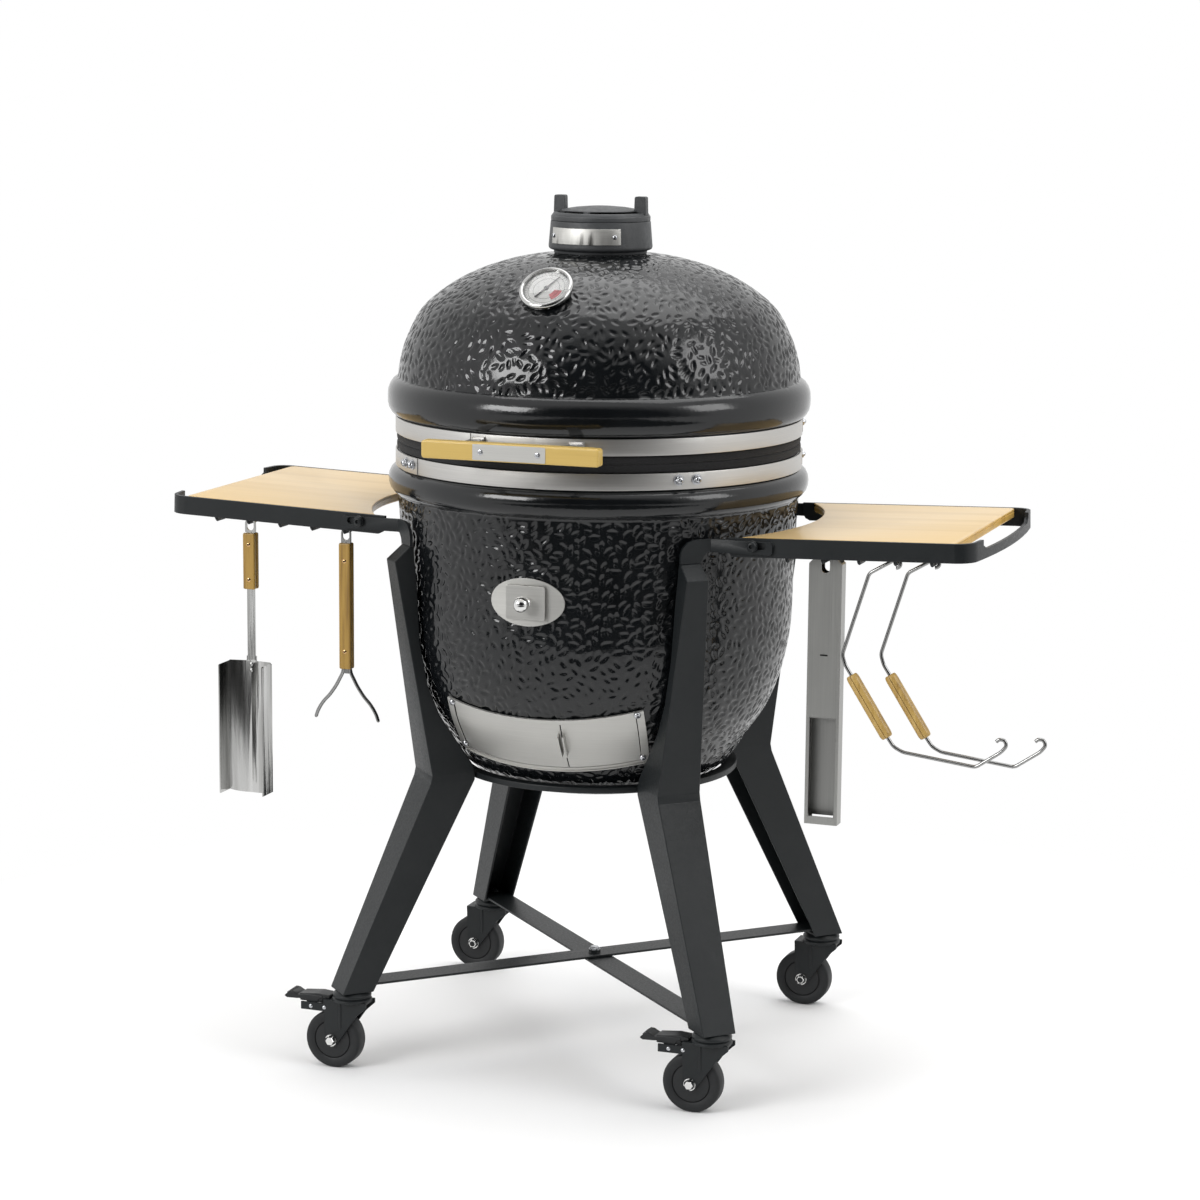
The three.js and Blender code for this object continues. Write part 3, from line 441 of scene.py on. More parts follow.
def lathe(profile, steps=128, start=0.0, stop=FULL_TURN):
    """Revolves [radius, height] points; an open profile ends on the axis."""
    whole = stop - start >= FULL_TURN
    columns = steps if whole else steps + 1
    closed = profile[0][0] > 1e-6 or profile[-1][0] > 1e-6
    points, rings = [], []
    for radius, height in profile:
        if radius < 1e-6:
            rings.append([len(points)] * columns)
            points.append((0, 0, height))
            continue
        rings.append(list(range(len(points), len(points) + columns)))
        for k in range(columns):
            points.append(bearing_point(start + (stop - start) * k / steps, radius, height))
    faces = []
    spans = len(rings) if closed else len(rings) - 1
    for r in range(spans):
        lower, upper = rings[r], rings[(r + 1) % len(rings)]
        for k in range(steps):
            n = (k + 1) % columns
            face = [lower[k], lower[n], upper[n], upper[k]]
            face = list(dict.fromkeys(face))
            if len(face) > 2:
                faces.append(tuple(face))
    if not whole:
        faces.append(tuple(ring[0] for ring in rings))
        faces.append(tuple(ring[-1] for ring in reversed(rings)))
    return points, faces


def prism(outline, depth):
    """An outline in X and Y, raised along +Z."""
    count = len(outline)
    points = [(p[0], p[1], 0) for p in outline] + [(p[0], p[1], depth) for p in outline]
    faces = [tuple(range(count - 1, -1, -1)), tuple(range(count, 2 * count))]
    for i in range(count):
        n = (i + 1) % count
        faces.append((i, n, n + count, i + count))
    return points, faces


def rectangle(width, height, radius=0.0, steps=5):
    x, y = width / 2, height / 2
    corners = [(x, y), (-x, y), (-x, -y), (x, -y)]
    return rounded(corners, radius, steps) if radius else corners


def upright(shape, x, y, z):
    """Stands a shape built on XY up to face the front, with its back at y."""
    return moved(shape, at(x, y, z) @ turn_about("X", 90))


def tube(path, radius, sides):
    """A round bar along a path, with flat ends."""
    path = [Vector(point) for point in path]
    points, faces = [], []
    side = None
    for i, here in enumerate(path):
        before = path[max(i - 1, 0)]
        after = path[min(i + 1, len(path) - 1)]
        along = (after - before).normalized()
        if side is None:
            side = along.orthogonal().normalized()
        side = (side - along * side.dot(along)).normalized()
        other = along.cross(side)
        for k in range(sides):
            angle = FULL_TURN * k / sides
            points.append(here + (side * cosd(angle) + other * sind(angle)) * radius)
    for i in range(len(path) - 1):
        for k in range(sides):
            a, b = i * sides + k, i * sides + (k + 1) % sides
            faces.append((a, b, b + sides, a + sides))
    last = (len(path) - 1) * sides
    faces.append(tuple(range(sides - 1, -1, -1)))
    faces.append(tuple(range(last, last + sides)))
    return points, faces


def screw_head(radius, height):
    """A pan head with a socket, on +Z."""
    return lathe([
        (0, height * 0.35),
        (radius * 0.36, height * 0.35),
        (radius * 0.42, height * 0.96),
        (radius * 0.70, height * 0.86),
        (radius * 0.93, height * 0.50),
        (radius, height * 0.15),
        (radius, -0.4),
        (0, -0.4),
    ], 20)


def rivet_head(radius, height):
    return lathe([
        (0, height),
        (radius * 0.4, height * 0.94),
        (radius * 0.75, height * 0.68),
        (radius, height * 0.12),
        (radius, -0.4),
        (0, -0.4),
    ], 20)


def fastened(head, place, outward):
    """A screw, rivet or nut that sits at a place and points outward."""
    return moved(head, facing(place, outward))


def on_ring(head, bearing, radius, height):
    """A fastener that points straight out from the kettle's axis."""
    return fastened(head, bearing_point(bearing, radius, height), bearing_point(bearing, 1, 0))


def hex_head(radius, height):
    """A hexagon with a chamfered top over a round washer."""
    hexagon = [(radius * cosd(60 * k), radius * sind(60 * k)) for k in range(6)]
    low = [(x, y, 0) for x, y in hexagon]
    high = [(x, y, height * 0.8) for x, y in hexagon]
    cap = [(x * 0.88, y * 0.88, height) for x, y in hexagon]
    faces = [tuple(range(5, -1, -1)), tuple(range(12, 18))]
    for k in range(6):
        n = (k + 1) % 6
        faces.append((k, n, n + 6, k + 6))
        faces.append((k + 6, n + 6, n + 12, k + 12))
    washer = lathe([(0, 0.4), (radius * 1.28, 0.4), (radius * 1.28, -0.8), (0, -0.8)], 24)
    return merged((low + high + cap, faces), washer)


# ------------------------------------------------------------------ pieces


def shade(mesh, angle):
    mesh.shade_smooth()
    mesh.set_sharp_from_angle(angle=math.radians(angle))


def bevel(piece, width, limit=38.0, segments=2):
    """Rounds the hard edges of a piece, for good."""
    modifier = piece.modifiers.new("edges", "BEVEL")
    modifier.width = width * MM
    modifier.segments = segments
    modifier.limit_method = "ANGLE"
    modifier.angle_limit = math.radians(limit)
    modifier.use_clamp_overlap = True
    modifier.harden_normals = True
    graph = bpy.context.evaluated_depsgraph_get()
    mesh = bpy.data.meshes.new_from_object(piece.evaluated_get(graph))
    piece.modifiers.clear()
    piece.data = mesh


def add_item(name, data):
    item = bpy.data.objects.new(name, data)
    bpy.context.scene.collection.objects.link(item)
    return item


def show(name, mesh, body, finish, replaces=()):
    """Puts a mesh in the scene as a visible piece of one moving body."""
    piece = add_item(name, mesh)
    finishes = finish if isinstance(finish, tuple) else (finish,)
    mesh.materials.clear()
    for each in finishes:
        mesh.materials.append(FINISHES[each])
    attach(piece, body)
    if replaces:
        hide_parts(*replaces)
    return piece


def build(name, shape, body, finish, replaces=(), edge=0.0, angle=38.0, slot=None):
    """Makes a piece from points and faces in millimetres around the kettle's axis."""
    points, faces = shape
    mesh = bpy.data.meshes.new(name)
    mesh.from_pydata([tuple(point) for point in points], [], faces)
    mesh.transform(TO_FRAME)
    work = bmesh.new()
    work.from_mesh(mesh)
    bmesh.ops.recalc_face_normals(work, faces=work.faces)
    work.to_mesh(mesh)
    work.free()
    shade(mesh, angle)
    piece = show(name, mesh, body, finish, replaces)
    if edge:
        bevel(piece, edge, angle)
    return piece


def soften(node, finish, edge, limit=38.0, segments=2):
    """A CAD part with its hard edges rounded, which stands for the part itself."""
    work = bmesh.new()
    work.from_mesh(frame["nodes"][node].data)
    bmesh.ops.remove_doubles(work, verts=work.verts, dist=0.02 * MM)
    bmesh.ops.dissolve_limit(
        work, angle_limit=math.radians(0.5), verts=work.verts, edges=work.edges
    )
    mesh = bpy.data.meshes.new(f"{node}_finished")
    work.to_mesh(mesh)
    work.free()
    shade(mesh, limit)
    body = frame["nodes"][node]["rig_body"]
    piece = show(f"{node}_finished", mesh, body, finish, (node,))
    bevel(piece, edge, limit, segments)
    return piece


# ------------------------------------------------------------------ ceramic shells

COLUMNS = 840  # points around a shell
ROW = 1.9  # between its rows of points
GRAIN_LENGTH = 6.9  # half the length of a hollow of middling size
GRAIN_WIDTH = 3.0  # half its width
GRAIN_DEPTH = 1.5
GRAIN_SPACING = 5.7  # least distance between the spots of two hollows
GRAIN_SPOTS = (-0.58, 0, 0.58)  # along each hollow, in half lengths
GRAIN_SIZES = (0.86, 1.12)
GRAIN_MARGIN = 2.5  # left plain at each end of the wall
AREA_PER_TRY = 9
WIDEST = 275  # radius at which every try counts

BOWL_SIDE = [(150, 369.5), (165, 382), (181, 398), (203, 431), (225, 464), (241, 503), (250, 540),
             (254.5, 570), (256, 600), (257, 648), (259.5, 700), (261.8, 739)]
DOME_SIDE = [(261.8, 891), (258.3, 915), (249.5, 943), (230, 979), (200, 1005), (165, 1025),
             (125, 1039.6), (90, 1047.5), (64, 1050.6)]


def smooth_path(points, spacing):
    """Evenly spaced points on a smooth curve through the given ones."""
    knots = [np.array(point, float) for point in points]
    knots = [2 * knots[0] - knots[1], *knots, 2 * knots[-1] - knots[-2]]
    dense = []
    for a, b, c, d in zip(knots, knots[1:], knots[2:], knots[3:]):
        for t in np.linspace(0, 1, 40, endpoint=False):
            dense.append(0.5 * (2 * b + (c - a) * t + (2 * a - 5 * b + 4 * c - d) * t ** 2
                                + (3 * b - a - 3 * c + d) * t ** 3))
    dense.append(knots[-2])
    dense = np.array(dense)
    lengths = np.concatenate([[0], np.cumsum(np.linalg.norm(np.diff(dense, axis=0), axis=1))])
    count = int(round(lengths[-1] / spacing))
    wanted = np.linspace(0, lengths[-1], count + 1)
    return np.column_stack([np.interp(wanted, lengths, dense[:, k]) for k in (0, 1)]), wanted


def scatter_grains(path, along, chance):
    """Places of oval hollows that don't touch: (bearing in radians, distance, tilt, size)."""
    taken = {}
    grains = []
    area = 2 * math.pi * float(np.trapz(path[:, 0], along))
    for _ in range(int(area / AREA_PER_TRY)):
        distance = chance.uniform(GRAIN_MARGIN, along[-1] - GRAIN_MARGIN)
        radius = float(np.interp(distance, along, path[:, 0]))
        if chance.random() > radius / WIDEST:
            continue
        bearing = chance.uniform(0, 2 * math.pi)
        tilt = chance.uniform(0, math.pi)
        size = chance.uniform(*GRAIN_SIZES)
        spots = []
        for shift in GRAIN_SPOTS:
            reach = shift * GRAIN_LENGTH * size
            d = distance + reach * math.sin(tilt)
            r = float(np.interp(d, along, path[:, 0]))
            b = bearing + reach * math.cos(tilt) / radius
            height = float(np.interp(d, along, path[:, 1]))
            spots.append((r * math.cos(b), r * math.sin(b), height))
        if any(near(spot, taken) for spot in spots):
            continue
        for spot in spots:
            taken.setdefault(cell_of(spot), []).append(spot)
        grains.append((bearing, distance, tilt, size))
    return grains


def cell_of(spot):
    return tuple(int(math.floor(value / GRAIN_SPACING)) for value in spot)


def near(spot, taken):
    """Whether a spot is too close to one that is taken."""
    home = cell_of(spot)
    nearest = GRAIN_SPACING * GRAIN_SPACING
    for i in range(home[0] - 1, home[0] + 2):
        for j in range(home[1] - 1, home[1] + 2):
            for k in range(home[2] - 1, home[2] + 2):
                for other in taken.get((i, j, k), ()):
                    if sum((a - b) ** 2 for a, b in zip(spot, other)) < nearest:
                        return True
    return False


def hollow_depths(path, along, grains):
    """How deep each point of the grid lies under the smooth surface."""
    depth = np.zeros((len(along), COLUMNS))
    step = 2 * math.pi / COLUMNS
    for bearing, distance, tilt, size in grains:
        length, width = GRAIN_LENGTH * size, GRAIN_WIDTH * size
        radius = float(np.interp(distance, along, path[:, 0]))
        first, last = np.searchsorted(along, [distance - length, distance + length])
        reach = int(length / (radius * step)) + 1
        middle = int(round(bearing / step))
        columns = np.arange(middle - reach, middle + reach + 1)
        across = (columns * step - bearing)[None, :] * path[first:last, 0][:, None]
        up = (along[first:last] - distance)[:, None]
        x = across * math.cos(tilt) + up * math.sin(tilt)
        y = up * math.cos(tilt) - across * math.sin(tilt)
        ends = np.clip(1 - (x / length) ** 2, 0, 1)
        far = np.abs(y) / np.maximum(width * ends ** 0.8, 1e-6)
        hollow = GRAIN_DEPTH * size * ends ** 0.5 * (1 - np.clip(far, 0, 1) ** 2)
        block = depth[first:last, columns % COLUMNS]
        depth[first:last, columns % COLUMNS] = np.maximum(block, np.where(ends > 0, hollow, 0))
    return depth


def dented_rows(points, chance):
    """The rows of a dented wall: radius and height of each point around the kettle."""
    path, along = smooth_path(points, ROW)
    slope = np.gradient(path, axis=0)
    slope /= np.linalg.norm(slope, axis=1)[:, None]
    depth = hollow_depths(path, along, scatter_grains(path, along, chance))
    radii = path[:, 0][:, None] - depth * slope[:, 1][:, None]
    heights = path[:, 1][:, None] + depth * slope[:, 0][:, None]
    return [(radii[i], heights[i]) for i in range(len(along))]


def plain_rows(points):
    return [(np.full(COLUMNS, float(r)), np.full(COLUMNS, float(z))) for r, z in points]


def shell(name, rows, body, node, inside_from, openings=(), ends_on_axis=False):
    """A ceramic shell of rows of points, glazed outside and bare inside.

    An opening is (first column, last column, outer row range, inner row range)."""
    angles = np.arange(COLUMNS) * (2 * math.pi / COLUMNS)
    rings = []
    for radii, heights in rows:
        rings.append(np.column_stack([radii * np.sin(angles), -radii * np.cos(angles), heights]))
    points = np.concatenate(rings)
    removed = np.zeros((len(rows), COLUMNS), bool)
    extra = []
    for first, last, outer, inner in openings:
        columns = [k % COLUMNS for k in range(first, last + 1)]
        for low, high in (outer, inner):
            for row in range(low, high):
                removed[row, columns[:-1]] = True
        extra += reveal(columns, outer, inner)
    spans = len(rows) - 1 if ends_on_axis else len(rows)
    quads = []
    for row in range(spans):
        k = np.flatnonzero(~removed[row])
        n = (k + 1) % COLUMNS
        up = ((row + 1) % len(rows)) * COLUMNS
        quads.append(np.column_stack([row * COLUMNS + k, row * COLUMNS + n, up + n, up + k]))
    inside = np.concatenate([np.full(len(q), row >= inside_from) for row, q in enumerate(quads)])
    faces = np.concatenate(quads).tolist() + extra
    if ends_on_axis:
        faces.append(list(range(COLUMNS - 1, -1, -1)))
        faces.append(list(range((len(rows) - 1) * COLUMNS, len(rows) * COLUMNS)))
    mesh = bpy.data.meshes.new(name)
    mesh.from_pydata(points.tolist(), [], faces)
    mesh.transform(TO_FRAME)
    indexes = np.ones(len(faces), np.int32)
    indexes[:len(inside)] = inside
    if ends_on_axis:
        indexes[-2] = 0
    shade(mesh, 50)
    piece = show(name, mesh, body, ("glaze", "clay"), (node,))
    mesh.polygons.foreach_set("material_index", indexes)
    return piece


def reveal(columns, outer, inner):
    """The four walls of an opening, from the outer skin to the inner one."""
    (outer_low, outer_high), (inner_low, inner_high) = outer, inner
    faces = []
    for a, b in zip(columns, columns[1:]):
        for o, i in ((outer_low, inner_high), (outer_high, inner_low)):
            quad = [o * COLUMNS + a, o * COLUMNS + b, i * COLUMNS + b, i * COLUMNS + a]
            faces.append(quad if o == outer_high else quad[::-1])
    for column, flip in ((columns[0], False), (columns[-1], True)):
        edge = [row * COLUMNS + column for row in range(outer_low, outer_high + 1)]
        edge += [row * COLUMNS + column for row in range(inner_low, inner_high + 1)]
        faces.append(edge[::-1] if flip else edge)
    return faces


def rows_between(rows, low, high, first, last):
    """The rows of a wall that lie nearest to two heights."""
    return tuple(
        min(range(first, last), key=lambda row: abs(float(rows[row][1][0]) - height))
        for height in (low, high)
    )


def column_at(bearing):
    return int(round(bearing / FULL_TURN * COLUMNS))


# Openings in the bowl: first and last bearing, bottom, top, and the spans of the inner
# outline that they cut.
DRAFT_OPENING = (-25, 23, 432, 468, 7, 8)
PORT_OPENING = (-5, 5, 612, 656, 2, 4)


def make_bowl():
    chance = random.Random(SEED)
    foot = rounded([(2, 358), (110, 358), (150, 368.5)], 12, 6, closed=False)[:-1]
    rows = plain_rows(foot)
    start = len(rows)
    rows += dented_rows(BOWL_SIDE, chance)
    wall_end = len(rows)
    rim = [(264, 741.2), (268.5, 744.6), (271.8, 749), (273.6, 754.5), (274, 760), (273.2, 766),
           (270.8, 771), (267, 774.6), (262.4, 776.2), (262, 777), (262, 797), (261, 798), (235, 798),
           (234, 797)]
    rows += plain_rows(rim)
    inner_start = len(rows)
    inside = [(234, 740), (230, 680), (228.6, 656), (227.4, 634), (226.4, 612), (221, 545), (203, 482),
              (196, 468), (174, 434), (165, 420), (118, 388), (2, 388)]
    rows += plain_rows(inside)
    openings = []
    for first, last, low, high, inner_low, inner_high in (DRAFT_OPENING, PORT_OPENING):
        outer = rows_between(rows, low, high, start, wall_end)
        inner = (inner_start + inner_low, inner_start + inner_high)
        openings.append((column_at(first), column_at(last), outer, inner))
    shell("bowl_shell", rows, "cart", "base_bowl", inner_start - 1, openings, ends_on_axis=True)


def make_dome():
    chance = random.Random(SEED + 1)
    rim = [(234, 821), (235, 820), (261, 820), (262, 821), (262, 841.6), (266.4, 843.4), (270.4, 847),
           (273.4, 852.4), (274.9, 859), (275, 867), (274.4, 875), (272, 881.6), (268.4, 886.6),
           (264.6, 889.6)]
    rows = plain_rows(rim)
    rows += dented_rows(DOME_SIDE, chance)
    rows += plain_rows([(62, 1050.6), (47, 1050.5), (46, 1049.5)])
    inner_start = len(rows)
    inside = [(46, 1024), (50, 1022.5), (105, 1016), (165, 994), (206, 960), (228, 910), (233.6, 870)]
    rows += plain_rows(rounded(inside, 14, 4, closed=False))
    shell("dome_shell", rows, "lid", "lid_dome", inner_start - 1)


def make_fire_parts():
    for node in ("firebox", "fire_ring"):
        soften(node, "clay", 1.5, 50)
    soften("charcoal_grate", "iron", 0.8)
    top = bottom_and_top("cooking_grate")[1]
    inner, outer, low, high = 222, 227.6, top - 5.6, top - 0.4
    rim = lathe(rounded([(inner, low), (outer, low), (outer, high), (inner, high)], 2.4, 4), 128)
    bars = []
    rod_end = 224  # radius of the circle that the rods end on
    for x in range(-200, 201, 16):
        half = math.sqrt(rod_end ** 2 - x ** 2)
        bars.append(tube([(x, -half, top - 2.6), (x, half, top - 2.6)], 2.3, 10))
    for y in (-110, 110):
        half = math.sqrt(rod_end ** 2 - y ** 2)
        bars.append(tube([(-half, y, top - 4.0), (half, y, top - 4.0)], 2.0, 10))
    build("cooking_grate_rods", merged(rim, *bars), "cart", "wire", ("cooking_grate",))


# ------------------------------------------------------------------ bands and felts


BAND_INSIDE = 262.3
BAND_RADIUS = 265
LAP_RADIUS = 266
NUT_RADIUS = 266.6  # where the clamp nuts sit
LAP_ENDS = {"base": -40, "lid": -17}  # bearing where the left lap of each band ends
SIDE_BODIES = (("base", "cart"), ("lid", "lid"))


def make_bands():
    for side, body in SIDE_BODIES:
        low, high = bottom_and_top(f"{side}_band")
        corners = [(BAND_INSIDE, low), (BAND_RADIUS, low), (BAND_RADIUS, high), (BAND_INSIDE, high)]
        strip = lathe(rounded(corners, 0.7, 3), 256)
        build(f"{side}_band_strip", strip, body, "band", (f"{side}_band",))
        corners = [(BAND_RADIUS, low + 0.2), (LAP_RADIUS, low + 0.2), (LAP_RADIUS, high - 0.2),
                   (BAND_RADIUS, high - 0.2)]
        lap = rounded(corners, 0.4, 2)
        ends = [(2.8, 49.5), (-50, LAP_ENDS[side]), (110, 150), (210, 250)]
        build(f"{side}_band_laps", merged(*[lathe(lap, 40, *pair) for pair in ends]), body, "band")
        low, high = bottom_and_top(f"{side}_gasket")
        rope = [(237, low), (262.5, low), (263.4, (low + high) / 2), (262.5, high), (237, high)]
        build(f"{side}_felt", lathe(rounded(rope, 3.2, 4), 192), body, "felt", (f"{side}_gasket",))


def make_band_bolts():
    heads, nuts = [], []
    height = centre("base_band").z / MM + 1.5
    for bearing in (41.7, 47.0, -42.9, -47.3):
        heads.append(on_ring(screw_head(4.6, 3.4), bearing, 269.6, height))
        nuts.append(on_ring(hex_head(5.4, 3.2), bearing, NUT_RADIUS, height))
    for side, body in SIDE_BODIES:
        level = centre(f"{side}_band").z / MM
        group = []
        for bearing in (116, 132, 228, 244):
            group.append(on_ring(hex_head(5.2, 4.2), bearing, NUT_RADIUS, level))
            group.append(on_ring(rivet_head(3.2, 3.0), bearing, 270.6, level))
        build(f"{side}_clamp_nuts", merged(*group), body, "zinc")
    build("band_bolts", merged(*heads, *nuts), "cart", "zinc")


# ------------------------------------------------------------------ chimney


LUG_MIDDLE = 55.1  # from the axis
LUG_THICK = 11


def make_chimney():
    low, high = bottom_and_top("chimney_collar")
    collar = [(47, low), (60, low), (60.4, low + 4.2), (63.5, low + 4.6), (66.6, low + 6.4),
              (67.3, low + 9), (64.6, high - 0.8), (64.0, high), (50, high)]
    casting = lathe(rounded(collar, 1.2, 3), 160)
    build("collar_casting", casting, "lid", "iron", ("chimney_collar",), angle=45)
    low, top = bottom_and_top("damper_cap")
    rim = [(55, low), (64.2, low), (64.2, low + 5.8), (63.0, low + 6.2), (62.8, low + 7.4),
           (60.4, low + 10.4), (56.5, low + 10.4), (55, low + 9.0)]
    disc = [(0, low + 18.4), (16, low + 18.0), (34, low + 16.4), (46, low + 14.4), (50.5, low + 13.2),
            (51.3, low + 12.4), (50.5, low + 11.8), (0, low + 11.4)]
    base = low + 7
    sides = [(8.1, 0), (7.4, top - base), (-7.4, top - base), (-8.1, 0)]
    lug = upright(prism(rounded(sides, 2.6, 5), LUG_THICK), 0, LUG_THICK / 2, base)
    spoke = prism(rectangle(112, 8), 9)
    spokes = [moved(spoke, at(0, 0, low + 3) @ turn_about("Z", angle)) for angle in (0, 90)]
    lugs = [moved(lug, at(x, 0, 0)) for x in (-LUG_MIDDLE, LUG_MIDDLE)]
    cap = merged(lathe(rounded(rim, 0.8, 3), 160), lathe(disc, 128), *spokes, *lugs)
    build("damper_casting", cap, "damper", "iron", ("damper_cap",), edge=0.7, angle=45)
    # A near-black disc inside the collar: painted shade in the chimney's neck.
    throat_shade_disc = lathe([(0, low + 1.6), (54.9, low + 1.6), (54.9, low + 0.6), (0, low + 0.6)], 96)
    build("damper_shade_disc", throat_shade_disc, "damper", "dark")
    make_nameplate()


def make_nameplate():
    """A blank plate that follows the collar's taper, with two screws."""
    low, high = bottom_and_top("nameplate")
    bottom, top = 66.9, 65.5  # radii of the collar behind it
    profile = [(bottom - 0.5, low), (bottom + 1.0, low), (top + 1.0, high), (top - 0.5, high)]
    plate = lathe(rounded(profile, 0.3, 2), 48, -47, 42.5)
    build("blank_nameplate", plate, "lid", "satin", ("nameplate",), edge=0.3)
    heads = []
    level = (low + high) / 2
    for bearing in (-42.5, 35.5):
        place = bearing_point(bearing, 67.1, level)
        heads.append(fastened(screw_head(3.2, 2.6), place, bearing_point(bearing, 1, 0.06)))
    build("nameplate_screws", merged(*heads), "lid", "zinc")


# ------------------------------------------------------------------ thermometer


DIAL_RADIUS = 28.8
DIAL_FACE = 3.8  # height of the dial along the gauge's axis
PRINT_FACE = 3.82
FIRST_TICK = 225  # degrees, anticlockwise from the gauge's side
TICK_STEP = 9


def make_thermometer():
    axis = Vector(JOINTS["needle_turn"]["axis"])
    up = Vector((0, -axis.z, axis.y)) * -1
    side = up.cross(axis)
    turn = Matrix((side, up, axis)).transposed().to_4x4()
    gauge = Matrix.Translation(pivot("needle_turn")) @ turn

    def gauge_piece(name, shape, finish, **options):
        return build(name, moved(shape, gauge), "lid", finish, **options)

    bezel = [(0, -2), (31.5, -0.4), (33.8, 1.6), (34.5, 4.2), (34.3, 6.6), (33.0, 8.4), (31.2, 9.0),
             (29.6, 8.2), (29.2, 6.4), (28.9, 3.6), (0, 3.6)]
    gauge_piece("gauge_bezel", lathe(bezel, 128), "polished",
                replaces=("thermometer_case",), slot="gauge_steel")
    stem = [(0, -60), (3.6, -60), (4, -50), (7, -46), (7, -6), (13.6, -6), (13.6, -1.6), (0, -1.6)]
    gauge_piece("gauge_stem", lathe(stem, 48), "dark")
    dial = [(0, DIAL_FACE), (DIAL_RADIUS, DIAL_FACE), (DIAL_RADIUS, 3.5), (0, 3.5)]
    gauge_piece("gauge_dial", lathe(dial, 96), "dial")
    ticks = []
    for k in range(31):
        length, width, radius = (4.4, 0.55, 25.0) if k % 5 == 0 else (2.2, 0.32, 26.2)
        place = turn_about("Z", FIRST_TICK - TICK_STEP * k) @ at(radius, 0, PRINT_FACE)
        ticks.append(moved(prism(rectangle(length, width), 0.12), place))
    for radius in (16.8, 23.2):
        ticks.append(lathe([(radius, PRINT_FACE), (radius + 0.35, PRINT_FACE), (radius + 0.35, 3.92),
                            (radius, 3.92)], 96))
    gauge_piece("gauge_ticks", merged(*ticks), "ink")
    rim = lathe([(27.4, 3.81), (DIAL_RADIUS, 3.81), (DIAL_RADIUS, 3.9), (27.4, 3.9)], 96)
    gauge_piece("gauge_dial_rim", rim, "dial_grey")
    zone = [(11 * cosd(angle), 11 * sind(angle)) for angle in range(-58, -5, 4)]
    zone += [(21.4 * cosd(angle), 21.4 * sind(angle)) for angle in range(-6, -59, -4)]
    gauge_piece("gauge_red_zone", moved(prism(zone, 0.08), at(0, 0, PRINT_FACE)), "red")
    lens = [(0, 8.2), (12, 7.9), (22, 7.2), (29.2, 6.0), (29.2, 5.2), (22, 6.4), (12, 7.1), (0, 7.4)]
    gauge_piece("gauge_lens", lathe(lens, 64), "lens")
    soften("thermometer_needle", "ink", 0.15)


# ------------------------------------------------------------------ lid handle


def make_handle():
    low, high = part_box("handle_bar")
    size = (high - low) / MM
    middle = (high + low) / 2
    where = at((middle.x - AXIS_X) / MM, 0, middle.z / MM)
    bar = upright(prism(rectangle(size.x, size.z, 4.5, 6), size.y), 0, high.y / MM, 0)
    build("handle_bamboo", moved(bar, where), "lid", "handle", ("handle_bar",), edge=2.6)
    plate_low, plate_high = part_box("handle_plate")
    across = (plate_high - plate_low) / MM
    screw_height = 1.0
    sheet = prism(rectangle(across.x, across.z, 1.5, 4), across.y - screw_height)
    plate = upright(sheet, 0, plate_high.y / MM, 0)
    build("handle_steel", moved(plate, where), "lid", "satin", ("handle_plate",), edge=0.2)
    for end in ("left", "right"):
        soften(f"handle_bracket_{end}", "band", 0.6)
    screws = []
    face = plate_low.y / MM + screw_height
    for x in (-37.3, 37.3):
        place = (x, face, middle.z / MM)
        screws.append(fastened(screw_head(3.7, screw_height), place, (0, -1, 0)))
    build("handle_screws", merged(*screws), "lid", "zinc")


# ------------------------------------------------------------------ rear hinge


def make_hinge():
    soften("hinge_base_bracket", "band", 0.8)
    soften("hinge_lid_bracket", "band", 0.8)
    for (side, body), x, level in zip(SIDE_BODIES, (36, 30), (787.5, 830.5)):
        heads = [fastened(hex_head(5, 3.6), (sign * x, 271.4, level), (0, 1, 0)) for sign in (-1, 1)]
        build(f"hinge_{side}_bolts", merged(*heads), body, "zinc")


# ------------------------------------------------------------------ air doors and feed port


def bowl_radius(height):
    """The bowl's smooth outer radius at a height."""
    radii, heights = zip(*BOWL_SIDE)
    return float(np.interp(height, heights, radii))


DOOR_AXIS = Vector(JOINTS["draft_left_slide"]["axis"])
DOOR_CENTRE = pivot("draft_left_slide")
DOOR_LEAN = math.degrees(math.atan2(-DOOR_AXIS.y, DOOR_AXIS.z))
DOOR_CURVE = [(-47, 242.8), (-18, 248.8), (0, 252.1), (14, 253.8), (42, 254.3)]  # height, radius


def leaning_radius(height):
    """The bowl's radius around the doors' axis, at a height along it."""
    heights, radii = zip(*DOOR_CURVE)
    return float(np.interp(height, heights, radii))


def leaning_sheet(first, last, low, high, near_face, far_face, steps=40, rows=8):
    """Sheet metal that is bent around the leaning axis of the air doors."""
    levels = [low + (high - low) * k / rows for k in range(rows + 1)]
    profile = [(leaning_radius(h) + far_face, h) for h in levels]
    profile += [(leaning_radius(h) + near_face, h) for h in reversed(levels)]
    place = Matrix.Translation(DOOR_CENTRE) @ turn_about("X", DOOR_LEAN)
    return moved(lathe(profile, steps, first, last), place)


def leaning_point(bearing, height, proud):
    """A place on the bent sheet, and the way out of it."""
    turn = turn_about("X", DOOR_LEAN)
    place = DOOR_CENTRE + turn @ bearing_point(bearing, leaning_radius(height) + proud, height)
    return place, turn @ bearing_point(bearing, 1, -0.12)


